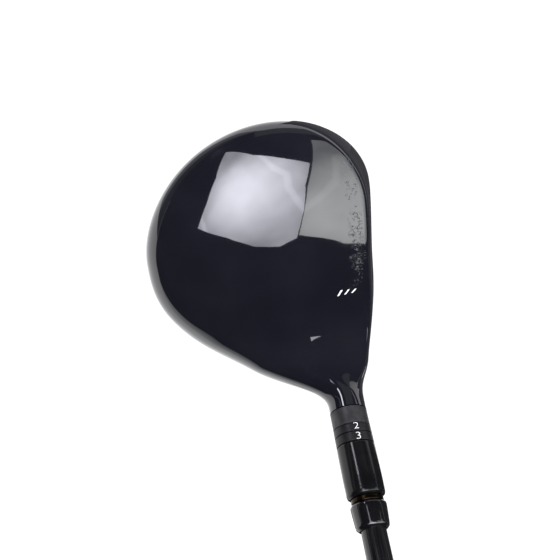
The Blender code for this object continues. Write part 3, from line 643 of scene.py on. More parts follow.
class Nodes:
    """Short names for the nodes that the materials share."""

    def __init__(self, tree, shader):
        self.tree, self.shader = tree, shader

    def add(self, kind, **settings):
        node = self.tree.nodes.new("ShaderNode" + kind)
        for name, value in settings.items():
            setattr(node, name, value)
        return node

    def wire(self, source, target):
        self.tree.links.new(source, target)

    def fill(self, socket, value):
        """Gives a socket a number or another node's output."""
        if isinstance(value, (int, float)):
            socket.default_value = value
        else:
            self.wire(value, socket)

    def place(self):
        """The point's place in the frame, in metres: each object sits at the origin."""
        return self.add("TexCoord").outputs["Object"]

    def turned_place(self):
        """The same place seen along the shaft: Z runs up the shaft from the ground."""
        node = self.add("Mapping", vector_type="TEXTURE")
        node.inputs["Location"].default_value = AXIS_FOOT * MM
        node.inputs["Rotation"].default_value = (radians(90 - LIE), 0, 0)
        self.wire(self.place(), node.inputs["Vector"])
        return node.outputs["Vector"]

    def scaled(self, place, scale):
        node = self.add("Mapping")
        node.inputs["Scale"].default_value = scale
        self.wire(place, node.inputs["Vector"])
        return node.outputs["Vector"]

    def noise(self, place, scale, detail=2.0, rough=0.5):
        node = self.add("TexNoise")
        node.inputs["Scale"].default_value = scale
        node.inputs["Detail"].default_value = detail
        node.inputs["Roughness"].default_value = rough
        self.wire(place, node.inputs["Vector"])
        return node.outputs["Fac"]

    def sums(self, operation, a, b=0.0):
        node = self.add("Math", operation=operation)
        self.fill(node.inputs[0], a)
        self.fill(node.inputs[1], b)
        return node.outputs[0]

    def times(self, a, b):
        return self.sums("MULTIPLY", a, b)

    def steps(self, value, low, high, start=0.0, end=1.0):
        """A smooth rise from start to end as the value goes from low to high."""
        node = self.add("MapRange", interpolation_type="SMOOTHSTEP")
        self.fill(node.inputs["Value"], value)
        for socket, number in zip(("From Min", "From Max", "To Min", "To Max"), (low, high, start, end)):
            node.inputs[socket].default_value = number
        return node.outputs["Result"]

    def mixed(self, share, first, second):
        """A colour between two colours, or between a node's colour and another."""
        node = self.add("Mix", data_type="RGBA")
        self.fill(node.inputs["Factor"], share)
        for socket, value in ((node.inputs[6], first), (node.inputs[7], second)):
            if isinstance(value, tuple):
                socket.default_value = (*value, 1)
            else:
                self.wire(value, socket)
        return node.outputs[2]

    def bump(self, height, distance, under=None):
        """Bumps this many metres high."""
        node = self.add("Bump")
        node.inputs["Strength"].default_value = 1.0
        node.inputs["Distance"].default_value = distance
        self.wire(height, node.inputs["Height"])
        if under is not None:
            self.wire(under, node.inputs["Normal"])
        return node.outputs["Normal"]

    def split(self, place):
        node = self.add("SeparateXYZ")
        self.wire(place, node.inputs[0])
        return node.outputs

    def set(self, socket, value):
        self.wire(value, self.shader.inputs[socket])


# ---- the club's materials ----


def paint_look(name):
    """Deep blue-black gloss paint under lacquer, worn to specks along the top line."""
    look, n = new_look(
        name, 0.05, (0.004, 0.0045, 0.009), Coat_Weight=1.0, Coat_Roughness=0.012, Coat_IOR=1.5,
        IOR=1.45, Specular_IOR_Level=0.5,
    )
    place = n.place()
    flake = n.noise(place, 5200, 1.0)
    drift = n.noise(place, 45, 3.0)
    tint = n.mixed(n.steps(drift, 0.35, 0.7), (0.0056, 0.0056, 0.0088), (0.0078, 0.0078, 0.0115))
    tint = n.mixed(n.steps(flake, 0.66, 0.8, 0, 0.3), tint, (0.01, 0.011, 0.018))
    peel = n.bump(n.noise(place, 320, 2.0), 0.000003)

    # how far a point is from a line 6 mm behind the top line, and which stretch of it is worn
    x, y, z = n.split(place)
    shape = n.times(n.sums("POWER", n.sums("ADD", y, 0.005), 2.0), -0.5 / (FACE_BULGE * MM))
    off_line = n.sums("ABSOLUTE", n.sums("SUBTRACT", n.sums("ADD", shape, (TOPLINE_X - 6.0) * MM), x))
    along = n.times(n.steps(y, -0.018, -0.004), n.steps(y, 0.03, 0.038, 1.0, 0.0))
    along = n.times(along, n.steps(z, 0.016, 0.022))
    zone = n.times(n.steps(off_line, 0.0012, 0.0036, 1.0, 0.0), along)

    # specks in patches, and hairlines across them
    specks = n.noise(place, 900, 8.0, 0.85)
    patches = n.noise(place, 190, 3.0, 0.6)
    worn = n.times(n.times(n.steps(specks, 0.53, 0.61), n.steps(patches, 0.42, 0.56)), zone)
    lines = n.noise(n.scaled(place, (260, 4200, 260)), 1.0, 2.0, 0.6)
    hair = n.times(n.steps(lines, 0.66, 0.72), n.steps(n.noise(place, 120, 2.0), 0.5, 0.6))
    hair = n.times(hair, n.steps(off_line, 0.002, 0.007, 0.8, 0.0))
    marks = n.sums("MAXIMUM", worn, n.times(hair, along))

    n.set("Base Color", n.mixed(n.times(marks, 0.7), tint, (0.09, 0.09, 0.088)))
    n.set("Roughness", n.steps(marks, 0.0, 0.8, 0.05, 0.6))
    n.set("Coat Weight", n.steps(marks, 0.0, 0.8, 1.0, 0.45))
    pits = n.bump(n.times(marks, -1.0), 0.00004, peel)
    n.set("Normal", pits)
    n.set("Coat Normal", pits)
    return look


def turned_metal(name, colour, rough, metallic, depth=0.000003, blotch=0.25):
    """Metal finished on a lathe, with fine lines round the shaft axis."""
    look, n = new_look(name, rough, colour, metallic)
    lines = n.noise(n.scaled(n.turned_place(), (30, 30, 9000)), 1.0, 3.0, 0.6)
    cloud = n.noise(n.place(), 260, 3.0)
    dark = tuple(c * (1 - blotch) for c in colour)
    light = tuple(min(c * (1 + blotch), 1.0) for c in colour)
    n.set("Base Color", n.mixed(n.steps(cloud, 0.3, 0.7), dark, light))
    n.set("Roughness", n.sums("ADD", n.steps(lines, 0.3, 0.7, -0.06, 0.06), rough))
    n.set("Normal", n.bump(lines, depth))
    return look


def brushed_metal(name, colour, rough, scale):
    """Metal brushed one way, the noise drawn out along one axis of the frame."""
    look, n = new_look(name, rough, colour, 1.0)
    lines = n.noise(n.scaled(n.place(), scale), 1.0, 3.0, 0.65)
    cloud = n.noise(n.place(), 140, 2.0)
    tint = n.mixed(n.steps(cloud, 0.3, 0.7), tuple(c * 0.88 for c in colour), colour)
    n.set("Base Color", n.mixed(n.steps(lines, 0.4, 0.75, 0, 0.25), tint, tuple(c * 0.7 for c in colour)))
    n.set("Roughness", n.steps(lines, 0.25, 0.75, rough - 0.07, rough + 0.1))
    n.set("Normal", n.bump(lines, 0.000004))
    return look


def grained(name, colour, rough, scale, depth, light=0.3, **sockets):
    """Moulded plastic or rubber with a fine grain."""
    look, n = new_look(name, rough, colour, 0.0, **sockets)
    place = n.place()
    grain = n.noise(place, scale, 4.0, 0.6)
    cloud = n.noise(place, 60, 2.0)
    tint = n.mixed(n.steps(cloud, 0.3, 0.7), colour, tuple(c * (1 + light) for c in colour))
    n.set("Base Color", tint)
    n.set("Roughness", n.steps(grain, 0.3, 0.7, rough - 0.06, rough + 0.08))
    n.set("Normal", n.bump(grain, depth))
    return look


def face_look():
    """Dark satin face, finely blasted, its grooves a little lighter from wear."""
    look, n = new_look("face_satin", 0.4, (0.02, 0.02, 0.022), 0.3, Specular_IOR_Level=0.3)
    place = n.place()
    y = n.split(place)[1]
    blast = n.noise(place, 5200, 2.0)
    cloud = n.noise(place, 70, 4.0, 0.6)
    wear = n.steps(n.noise(place, 260, 5.0, 0.7), 0.55, 0.7)
    middle = n.times(n.steps(n.sums("ABSOLUTE", y), 0.008, 0.024, 1.0, 0.0), wear)
    tint = n.mixed(n.steps(cloud, 0.3, 0.7), (0.016, 0.016, 0.018), (0.03, 0.03, 0.032))
    n.set("Base Color", n.mixed(n.times(middle, 0.5), tint, (0.10, 0.10, 0.102)))
    n.set("Roughness", n.steps(blast, 0.3, 0.7, 0.36, 0.5))
    n.set("Normal", n.bump(blast, 0.000006))
    return look


def shaft_look():
    """Black wound carbon under clear lacquer."""
    look, n = new_look(
        "shaft_paint", 0.3, (0.02, 0.02, 0.022), 0.0, Specular_IOR_Level=0.12, Coat_Weight=1.0,
        Coat_Roughness=0.03, Coat_IOR=1.5,
    )
    place = n.turned_place()
    fibres = n.noise(n.scaled(place, (2600, 2600, 60)), 1.0, 2.0, 0.5)
    wraps = n.noise(n.scaled(place, (18, 18, 160)), 1.0, 2.0, 0.5)
    tint = n.mixed(n.steps(fibres, 0.3, 0.7), (0.0015, 0.0015, 0.0018), (0.006, 0.006, 0.0065))
    n.set("Base Color", n.mixed(n.steps(wraps, 0.4, 0.62, 0, 0.4), tint, (0.003, 0.003, 0.0035)))
    n.set("Roughness", n.steps(fibres, 0.2, 0.8, 0.24, 0.4))
    n.set("Normal", n.bump(n.noise(n.place(), 700, 2.0), 0.000002))
    return look


def grip_look():
    """Matt rubber, with a fine pebble between its grooves."""
    look, n = new_look("grip_rubber", 0.78, (0.018, 0.018, 0.019), 0.0, Specular_IOR_Level=0.35)
    place = n.place()
    pebble = n.noise(place, 1900, 3.0, 0.6)
    cloud = n.noise(place, 40, 4.0, 0.6)
    dust = n.steps(n.noise(place, 500, 5.0, 0.75), 0.6, 0.75, 0, 0.35)
    tint = n.mixed(n.steps(cloud, 0.3, 0.7), (0.014, 0.014, 0.015), (0.026, 0.026, 0.027))
    n.set("Base Color", n.mixed(dust, tint, (0.06, 0.058, 0.055)))
    n.set("Roughness", n.steps(pebble, 0.3, 0.7, 0.68, 0.86))
    n.set("Normal", n.bump(pebble, 0.00003))
    return look


def ink_look():
    """White filled marks, slightly uneven at the edge of each pass."""
    look, n = new_look("white_ink", 0.45, (0.8, 0.8, 0.79), 0.0)
    place = n.place()
    cover = n.noise(place, 2600, 3.0, 0.6)
    n.set("Base Color", n.mixed(n.steps(cover, 0.3, 0.62), (0.6, 0.6, 0.59), (0.86, 0.86, 0.85)))
    n.set("Roughness", n.steps(cover, 0.3, 0.7, 0.38, 0.55))
    n.set("Normal", n.bump(cover, 0.00001))
    return look


LOOKS = {
    "gloss_paint": paint_look("gloss_paint"),
    "crown_paint": paint_look("crown_paint"),
    "face_satin": face_look(),
    "inner_steel": brushed_metal("inner_steel", (0.42, 0.42, 0.43), 0.4, (300, 900, 2600)),
    "slot_rubber": grained("slot_rubber", (0.016, 0.016, 0.017), 0.62, 1600, 0.00002),
    "badge_metal": brushed_metal("badge_metal", (0.5, 0.51, 0.53), 0.28, (5200, 120, 120)),
    "bolt_steel": turned_metal("bolt_steel", (0.4, 0.4, 0.41), 0.3, 1.0),
    "black_polymer": grained("black_polymer", (0.02, 0.02, 0.021), 0.5, 1200, 0.00001),
    "collar_satin": turned_metal("collar_satin", (0.045, 0.045, 0.047), 0.42, 0.6),
    "ring_satin": turned_metal("ring_satin", (0.009, 0.009, 0.01), 0.38, 0.3),
    "sleeve_satin": turned_metal("sleeve_satin", (0.0045, 0.0045, 0.005), 0.14, 0.2, depth=0.000001),
    # the trim ring keeps a brass tone, but its colour is darkened to near black as painted shade of the
    # recessed neck between the sleeve's lip and the ferrule
    "trim_brass": turned_metal("trim_brass", (0.022, 0.015, 0.009), 0.24, 1.0, blotch=0.12),
    "ferrule_gloss": grained(
        "ferrule_gloss", (0.003, 0.003, 0.0035), 0.16, 900, 0.000001, Specular_IOR_Level=0.15,
        Coat_Weight=1.0, Coat_Roughness=0.04,
    ),
    "shaft_paint": shaft_look(),
    "grip_tape": grained("grip_tape", (0.55, 0.5, 0.4), 0.72, 2200, 0.00002, 0.15),
    "grip_rubber": grip_look(),
    "cap_rubber": grained("cap_rubber", (0.02, 0.02, 0.021), 0.7, 1500, 0.00002),
    "weight_metal": turned_metal("weight_metal", (0.46, 0.47, 0.49), 0.3, 1.0),
    "white_ink": ink_look(),
}


def finished(piece, body, slot, *nodes):
    """Gives the piece its finish, hangs it on the body it rides on and hides the nodes that it takes the
    place of.
    """
    if not piece.data.materials:
        piece.data.materials.append(LOOKS[slot])
    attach(piece, body)
    if nodes:
        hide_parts(*nodes)
    return piece


# ---- the head ----


def make_body():
    """Skirt, sole, toe and hosel, cut for the bolt, the weight, the slot and the badge."""
    body = shell("head_body", LOOKS["gloss_paint"])
    room = inset(0.5)
    boss = turned("port_boss", cylinder(TUBE_R, 0.5, TUBE_FROM - GAP), hollow=False)
    combine(boss, "INTERSECT", closed_skin("core", room))
    combine(body, "UNION", boss)
    combine(body, "DIFFERENCE", turned("port", cylinder(PORT_R, -6, TUBE_FROM + 1), hollow=False))
    outer, inner = WELL_R + BOSS_WALL, WEIGHT_SHANK_R + 1.5 * BOSS_WALL
    step, top = WELL_DEPTH + BOSS_WALL, WEIGHT_DEPTH + BOSS_WALL
    outside = [(0, -4), (outer, -4), (outer, step), (inner, step + 0.2), (inner, top), (0, top)]
    boss = turned("weight_boss", outside, hollow=False, place=on_weight)
    combine(boss, "INTERSECT", closed_skin("core", room))
    combine(body, "UNION", boss)
    bore, deep = WEIGHT_SHANK_R + GAP, WEIGHT_DEPTH + 0.8
    inside = [(0, -8), (WELL_R, -8), (WELL_R, WELL_DEPTH), (bore, WELL_DEPTH), (bore, deep), (0, deep)]
    combine(body, "DIFFERENCE", turned("well", inside, hollow=False, place=on_weight))
    combine(body, "DIFFERENCE", prism("slot", stadium(SLOT_X, SLOT_Y, SLOT_LENGTH, SLOT_WIDTH), -5, 6))
    combine(body, "DIFFERENCE", between(shield(GAP), -1.0, 0.75, "recess"))
    ground = [(-90, -90), (90, -90), (90, 90), (-90, 90)]
    combine(body, "DIFFERENCE", prism("ground", ground, -30, 0))
    return finished(shade_as_skin(body), "head", "gloss_paint", "body_shell")


def make_crown():
    crown = plate("head_crown", CROWN_ROWS, CROWN_COLUMNS, CROWN_WALL, LOOKS["crown_paint"])
    return finished(shade_as_skin(crown), "head", "crown_paint", "crown_shell")


GROOVES, GROOVE_STEP, GROOVE_WIDE, GROOVE_DEEP = 9, 3.1, 0.75, 0.28
GROOVE_LOW, GROOVE_HALF = 4.6, 21.0


def face_point(tree, y, z):
    """The point of the face at this y and z, in millimetres."""
    found = tree.ray_cast(Vector((60, y, z)) * MM, Vector((-1, 0, 0)))[0]
    return np.array(found) / MM


def groove_bar(tree, z, half):
    """A bar let into the face along one height, with tapered ends."""
    points, faces = [], []
    stops = [half * cos(pi * k / 40) for k in range(41)]
    for y in stops:
        share = min(1.0, (half - abs(y)) / 1.5)
        surface = face_point(tree, y - 5.0, z)
        tangent = face_point(tree, y - 5.0, z + 0.5) - face_point(tree, y - 5.0, z - 0.5)
        tangent /= np.linalg.norm(tangent)
        inward = np.array([-tangent[2], 0, tangent[0]])
        deep = GROOVE_DEEP * share
        across = tangent * GROOVE_WIDE / 2 * (0.35 + 0.65 * share)
        out = surface - inward * 0.6
        points += [out - across * 1.6, out + across * 1.6, surface + across,
                   surface + across * 0.5 + inward * deep, surface - across * 0.5 + inward * deep,
                   surface - across]
    for j in range(len(stops) - 1):
        a, b = 6 * j, 6 * (j + 1)
        faces += [(a + k, a + (k + 1) % 6, b + (k + 1) % 6, b + k) for k in range(6)]
    last = 6 * (len(stops) - 1)
    faces += [tuple(range(5, -1, -1)), tuple(last + k for k in range(6))]
    return made("groove", points, faces)


def make_face():
    """The face plate with its score lines, longer toward the middle of the height."""
    face = plate("face", FACE_ROWS, FACE_COLUMNS, FACE_WALL, LOOKS["face_satin"])
    for k in range(GROOVES):
        z = GROOVE_LOW + k * GROOVE_STEP
        half = GROOVE_HALF - 0.6 * abs(k - (GROOVES - 1) / 2)
        combine(face, "DIFFERENCE", groove_bar(SKIN_TREE, z, half))
    return finished(shade_as_skin(face), "head", "face_satin", "face_plate")


def make_slot_filler():
    """The soft filler of the sole slot, a little below the paint, with a row of notches."""
    outline = stadium(SLOT_X, SLOT_Y, SLOT_LENGTH - 2 * GAP, SLOT_WIDTH - 2 * GAP)
    filler = prism("slot_filler_fine", outline, -5, 3.6, LOOKS["slot_rubber"])
    combine(filler, "INTERSECT", closed_skin("limit", inset(0.25)))
    notches, pitch = 9, 4.5
    for k in range(notches):
        y = SLOT_Y + pitch * (k - (notches - 1) / 2)
        notch = stadium(SLOT_X, y, 3.0, 1.0, 8)
        combine(filler, "DIFFERENCE", between(notch, -1.0, 0.65, "notch"))
    return finished(filler, "head", "slot_rubber", "slot_filler")


def make_badge():
    """A brushed plate let into the sole, with a raised border and three plain bars."""
    badge = between(shield(0.0), 0.08, 0.45, "sole_badge_fine", LOOKS["badge_metal"])
    combine(badge, "DIFFERENCE", between(shield(0.0, 0.86), -1.0, 0.2, "field"))
    for k in range(3):
        bar = stadium(BADGE_XY[0] - 5 + 5 * k, BADGE_XY[1], 18 - 3 * k, 1.6, 10)
        combine(badge, "UNION", between(bar, 0.1, 0.35, "bar"))
    return finished(badge, "head", "badge_metal", "sole_badge")


def make_weight():
    """The weight screw: a flat flange with a hexagon socket, a ring groove and three dots."""
    slim = WEIGHT_SHANK_R
    flange = [(0, 0), (WEIGHT_R, 0), (WEIGHT_R, WEIGHT_HEAD), (slim, WEIGHT_HEAD)]
    shank = [(slim, WEIGHT_DEPTH), (0, WEIGHT_DEPTH)]
    screw = turned("weight_screw_fine", flange + shank, LOOKS["weight_metal"], 0.35, False, on_weight)
    groove = [(4.6, -1), (5.4, -1), (5.3, 0.25), (4.7, 0.25)]
    combine(screw, "DIFFERENCE", turned("groove", groove, place=on_weight))
    cone = [(0, -1), (3.0, -1), (2.3, 0.35), (0, 0.35)]
    combine(screw, "DIFFERENCE", turned("lead_in", cone, hollow=False, place=on_weight))
    combine(screw, "DIFFERENCE", prism("socket", hexagon(SOCKET_FLATS), -2, 2.2, place=weight_flat))
    for k in range(3):
        angle = 2 * pi * k / 3
        dot = stadium(6.15 * cos(angle), 6.15 * sin(angle), 0.8, 0.79, 10)
        combine(screw, "DIFFERENCE", prism("dot", dot, -1, 0.2, place=weight_flat))
    return finished(screw, "weight", "weight_metal", "weight_screw")


# ---- the collar, the rings, the sleeve and the ferrule ----


def tube(inner, outer, start, end):
    """Closed profile of a plain ring or tube."""
    return [(inner, start), (outer, start), (outer, end), (inner, end)]


def turned_piece(name, profile, body, slot, node, radius=0.15, hollow=True):
    piece = turned(name, profile, LOOKS[slot], radius, hollow)
    return finished(even_shading(piece), body, slot, node)


def make_rings():
    bore = SLEEVE_R + GAP
    # the collar has a fine lip where it leaves the paint
    collar = [(bore, HOSEL_TOP + GAP), (HOSEL_R - 0.02, HOSEL_TOP + GAP), (HOSEL_R - 0.02, COLLAR_TO)]
    turned_piece("collar_fine", collar + [(bore, COLLAR_TO)], "head", "collar_satin", "hosel_collar")
    upper = tube(bore, HOSEL_R + 0.02, COLLAR_TO + GAP, UPPER_RING_TO)
    turned_piece("upper_ring_fine", upper, "upper_ring", "ring_satin", "upper_ring")
    lower = tube(bore, HOSEL_R + 0.05, UPPER_RING_TO + GAP, RINGS_TO)
    turned_piece("lower_ring_fine", lower, "lower_ring", "ring_satin", "lower_ring")


def make_sleeve():
    """The sleeve: slim in the hosel, a shouldered barrel above the rings, and a narrower lip."""
    shoulder, bore, floor = RINGS_TO + GAP, SHAFT_TIP_R + GAP, SHAFT_FROM - 1.5
    slim = [(3.9, SLEEVE_FROM), (SLEEVE_R - 0.5, SLEEVE_FROM), (SLEEVE_R, SLEEVE_FROM + 0.8)]
    seen = [(SLEEVE_R, shoulder), (SHOULDER_R - 0.15, shoulder), (SHOULDER_R, shoulder + 0.3)]
    swell, length, parts = 0.02, 13, 12
    barrel = []
    for k in range(1, parts):
        barrel.append((SHOULDER_R + swell * sin(pi * k / parts), shoulder + length * k / parts))
    seen += barrel + [(SHOULDER_R - 0.08, shoulder + 15), (SHOULDER_R - 0.12, SLEEVE_TO - 1.3)]
    seen += [(SHOULDER_R - 0.3, SLEEVE_TO - 0.5), (5.7, SLEEVE_TO)]
    inside = [(bore, SLEEVE_TO), (bore, floor), (3.9, floor)]
    profile = slim + seen + inside
    turned_piece("sleeve_fine", profile, "shaft_assembly", "sleeve_satin", "adapter_sleeve", 0.12)


def make_ferrule():
    bore = SHAFT_TIP_R + GAP
    trim = tube(bore, 5.55, SLEEVE_TO + GAP, FERRULE_FROM - GAP)
    turned_piece("trim_ring_fine", trim, "shaft_assembly", "trim_brass", "trim_ring", 0.25)
    wide = [(bore, FERRULE_FROM), (5.75, FERRULE_FROM), (6.2, FERRULE_FROM + 0.6), (6.15, FERRULE_FROM + 2)]
    slim = [(6.0, FERRULE_FROM + 4.2), (5.78, FERRULE_TO - 1.6), (5.65, FERRULE_TO - 0.8)]
    slim += [(4.85, FERRULE_TO), (bore, FERRULE_TO)]
    turned_piece("ferrule_fine", wide + slim, "shaft_assembly", "ferrule_gloss", "ferrule", 0.3)


def make_bolt():
    """The captive bolt: a socket head, and a stem with a fine thread."""
    head_from = BOLT_HEAD_TO - BOLT_HEAD_HEIGHT
    pitch, ridges, thread_from = 0.8, 10, BOLT_TO - 9
    head = [(0, head_from), (BOLT_HEAD_R - 0.35, head_from), (BOLT_HEAD_R, head_from + 0.35)]
    head += [(BOLT_HEAD_R, BOLT_HEAD_TO), (BOLT_R, BOLT_HEAD_TO), (BOLT_R, thread_from)]
    thread = []
    for k in range(ridges):
        start = thread_from + k * pitch
        thread += [(BOLT_R - 0.35, start + pitch * 0.4), (BOLT_R, start + pitch * 0.8)]
    stem = [(BOLT_R - 0.5, BOLT_TO), (0, BOLT_TO)]
    bolt = turned("hosel_bolt_fine", head + thread + stem, LOOKS["bolt_steel"], 0.0, False)
    cone = [(0, head_from - 1), (2.9, head_from - 1), (2.25, head_from + 0.3), (0, head_from + 0.3)]
    combine(bolt, "DIFFERENCE", turned("lead_in", cone, hollow=False))
    socket = prism("socket", hexagon(SOCKET_FLATS), head_from - 2, head_from + 2.6, place=axis_flat)
    combine(bolt, "DIFFERENCE", socket)
    return finished(bolt, "bolt", "bolt_steel", "hosel_bolt")


# ---- the shaft and the grip ----


def shaft_radius(station):
    """Parallel tip, then a steady taper to the butt."""
    share = min(max((station - PARALLEL_TO) / (TAPER_TO - PARALLEL_TO), 0.0), 1.0)
    return SHAFT_TIP_R + (SHAFT_BUTT_R - SHAFT_TIP_R) * share


def make_shaft():
    butt = CLUB_LENGTH - CAP_FLANGE - 2.5
    stations = list(np.linspace(SHAFT_FROM + 0.6, PARALLEL_TO, 6))
    stations += list(np.linspace(PARALLEL_TO, butt, 60))[1:]
    outside = [(SHAFT_TIP_R - 0.4, SHAFT_FROM)] + [(shaft_radius(s), s) for s in stations]
    inside = [(shaft_radius(s) - SHAFT_WALL, s) for s in (butt, TAPER_TO, PARALLEL_TO)]
    inside.append((SHAFT_TIP_R - TIP_WALL, SHAFT_FROM))
    turned_piece("shaft_fine", outside + inside, "shaft_assembly", "shaft_paint", "shaft", 0.0)


def grip_radius(station):
    """The grip's own taper, a smooth curve through its mouth, middle and butt."""
    return float(GRIP_CURVE(station))


GRIP_TOP = CLUB_LENGTH - CAP_FLANGE - GAP
GRIP_CURVE = through(
    [(GRIP_FROM + 1.2, 9.0), (GRIP_FROM + 12, 9.9), (GRIP_FROM + 90, 10.6), (GRIP_FROM + 190, 11.6),
     (GRIP_TOP - 12, CAP_R - 0.5), (GRIP_TOP - 4, CAP_R - 0.05), (GRIP_TOP, CAP_R)]
)
GRIP_AROUND, GRIP_PITCH = 120, 0.9


def grip_groove(station, angle):
    """How deep the grip's pattern is here: crossing spirals over the hold, rings at its ends."""
    along = station - GRIP_FROM
    length = GRIP_TOP - GRIP_FROM
    lead, wide, deep = 30.0, 0.16, 0.45
    spiral = abs(sin(3 * (angle + 2 * pi * along / lead / 3)))
    counter = abs(sin(3 * (angle - 2 * pi * along / lead / 3)))
    lines = max(ramp((wide - spiral) / wide), ramp((wide - counter) / wide))
    hold = ramp((along - 14) / 4) * ramp((length - 22 - along) / 4)
    ring_places = (8.0, 11.5, length - 18, length - 14.5, length - 11)
    rings = max(ramp(1 - abs(along - at) / 1.1) for at in ring_places)
    return deep * max(lines * hold, rings)


def make_grip():
    """The rubber grip as one closed tube, its pattern cut into the outer surface."""
    count = int((GRIP_TOP - GRIP_FROM) / GRIP_PITCH)
    lip = shaft_radius(GRIP_FROM)
    profile = [(lip + 0.7, GRIP_FROM, 0), (lip + 1.5, GRIP_FROM + 0.2, 0), (lip + 2.2, GRIP_FROM + 0.9, 0)]
    for station in np.linspace(GRIP_FROM + 1.6, GRIP_TOP - 0.6, count):
        profile.append((grip_radius(station), station, 1))
    profile += [(CAP_R - 0.05, GRIP_TOP - 0.2, 0), (CAP_R - 0.3, GRIP_TOP, 0)]
    profile += [(shaft_radius(s) + 0.7, s, 0) for s in (GRIP_TOP, TAPER_TO, GRIP_FROM + 60)]
    points = []
    for r, s, patterned in profile:
        for k in range(GRIP_AROUND):
            angle = 2 * pi * k / GRIP_AROUND
            points.append(on_axis(r - (grip_groove(s, angle) if patterned else 0), angle, s))
    faces = []
    for j in range(len(profile)):
        low, high = j * GRIP_AROUND, (j + 1) % len(profile) * GRIP_AROUND
        for k in range(GRIP_AROUND):
            n = (k + 1) % GRIP_AROUND
            faces.append((low + k, low + n, high + n, high + k))
    grip = made("grip_fine", points, faces, LOOKS["grip_rubber"])
    return finished(grip, "shaft_assembly", "grip_rubber", "grip")


def make_cap():
    """The butt cap, domed and ringed, with the vent hole through it."""
    base = GRIP_TOP + GAP
    profile = [(VENT_R, base), (CAP_R - 0.35, base), (CAP_R, base + 0.5), (CAP_R - 0.05, base + 1.6)]
    profile += [(CAP_R - 0.9, CLUB_LENGTH - 0.35), (CAP_R - 2.2, CLUB_LENGTH), (8.4, CLUB_LENGTH)]
    profile += [(8.0, CLUB_LENGTH - 0.5), (7.2, CLUB_LENGTH - 0.5), (6.8, CLUB_LENGTH), (3.2, CLUB_LENGTH)]
    profile += [(VENT_R + 0.3, CLUB_LENGTH - 0.1), (VENT_R, CLUB_LENGTH - 0.5)]
    turned_piece("grip_cap_fine", profile, "shaft_assembly", "cap_rubber", "grip_cap", 0.2)


# ---- marks ----


MARK_ANGLE = 3.0  # degrees to the right of the side that faces the golfer's eye
MARK_PROUD, MARK_DEEP = 0.015, 0.05
DIGIT_WIDER, DIGIT_THINNER = 1.3, 0.018  # than the plain font


def glyph(text, height):
    """Flat outline of a digit as a mesh, centred and this many millimetres high."""
    curve = bpy.data.curves.new("glyph", "FONT")
    curve.body = text
    curve.size = 1.0
    curve.resolution_u = 6
    curve.offset = -DIGIT_THINNER
    holder = bpy.data.objects.new("glyph", curve)
    bpy.context.scene.collection.objects.link(holder)
    graph = bpy.context.evaluated_depsgraph_get()
    graph.update()
    mesh = bpy.data.meshes.new_from_object(holder.evaluated_get(graph), depsgraph=graph)
    bpy.data.objects.remove(holder)
    bm = bmesh.new()
    bm.from_mesh(mesh)
    bpy.data.meshes.remove(mesh)
    bmesh.ops.remove_doubles(bm, verts=bm.verts, dist=1e-5)
    bmesh.ops.triangulate(bm, faces=bm.faces)
    bmesh.ops.subdivide_edges(bm, edges=bm.edges, cuts=2, use_grid_fill=True)
    bmesh.ops.triangulate(bm, faces=bm.faces)
    xs = [v.co.x for v in bm.verts]
    ys = [v.co.y for v in bm.verts]
    middle_x, middle_y = (min(xs) + max(xs)) / 2, (min(ys) + max(ys)) / 2
    scale = height / (max(ys) - min(ys))
    for v in bm.verts:
        v.co = Vector(((v.co.x - middle_x) * scale * DIGIT_WIDER, (v.co.y - middle_y) * scale, 0))
    return bm


def printed(name, bm, place, body):
    """The flat shape as thin white print, on the surface that place(x, y, height above it) gives."""
    flat = [(v.co.x, v.co.y) for v in bm.verts]
    number = {v: k for k, v in enumerate(bm.verts)}
    tris = [tuple(number[v] for v in face.verts) for face in bm.faces]
    rim = [tuple(number[v] for v in edge.verts) for edge in bm.edges if len(edge.link_faces) == 1]
    bm.free()
    count = len(flat)
    points = [place(x, y, height) for height in (MARK_PROUD, -MARK_DEEP) for x, y in flat]
    faces = tris + [tuple(count + v for v in reversed(t)) for t in tris]
    faces += [(a, b, b + count, a + count) for a, b in rim]
    finished(made(name, points, faces, LOOKS["white_ink"]), body, "white_ink")


def make_marks():
    """Position numbers at thirds of a turn round each ring, their tops toward the head."""
    upper_at, lower_at = (COLLAR_TO + GAP + UPPER_RING_TO) / 2, (UPPER_RING_TO + GAP + RINGS_TO) / 2
    rows = (
        ("upper_mark", "231", 2.3, HOSEL_R + 0.02, upper_at - 0.25, "upper_ring"),
        ("lower_mark", "312", 2.5, HOSEL_R + 0.05, lower_at + 0.2, "lower_ring"),
    )
    for name, digits, height, radius, station, body in rows:
        for k, digit in enumerate(digits):
            angle = radians(90 - MARK_ANGLE + 120 * k)

            def on_ring(x, y, above):
                return on_axis(radius + above, angle - x / radius, station - y)

            printed(name + "_" + digit, glyph(digit, height), on_ring, body)


def on_crown(x, y, above):
    """The point this far above the crown at this x and y, in millimetres."""
    hit = SKIN_TREE.ray_cast(Vector((x, y, 90)) * MM, Vector((0, 0, -1)))[0]
    normal, _ = exact_normal(hit)
    return np.array(hit) / MM + np.array(normal) * above


def make_crown_marks():
    """Three slanted bars, each a little shorter than the last, as a plain aiming mark."""
    middle_y, pitch, wide, slant = -13.0, 2.7, 0.75, 0.7
    for k in range(3):
        x, half = 0.2 + pitch * k, 1.1 - 0.2 * k
        (x_low, low), (x_high, high) = (x - slant, middle_y - half), (x + slant, middle_y + half)
        bm = bmesh.new()
        outline = [(x_low, low), (x_low + wide, low), (x_high + wide, high), (x_high, high)]
        bm.faces.new([bm.verts.new((*point, 0)) for point in outline])
        bmesh.ops.subdivide_edges(bm, edges=bm.edges, cuts=5, use_grid_fill=True)
        bmesh.ops.triangulate(bm, faces=bm.faces)
        printed("aim_bar_%d" % (k + 1), bm, on_crown, "head")


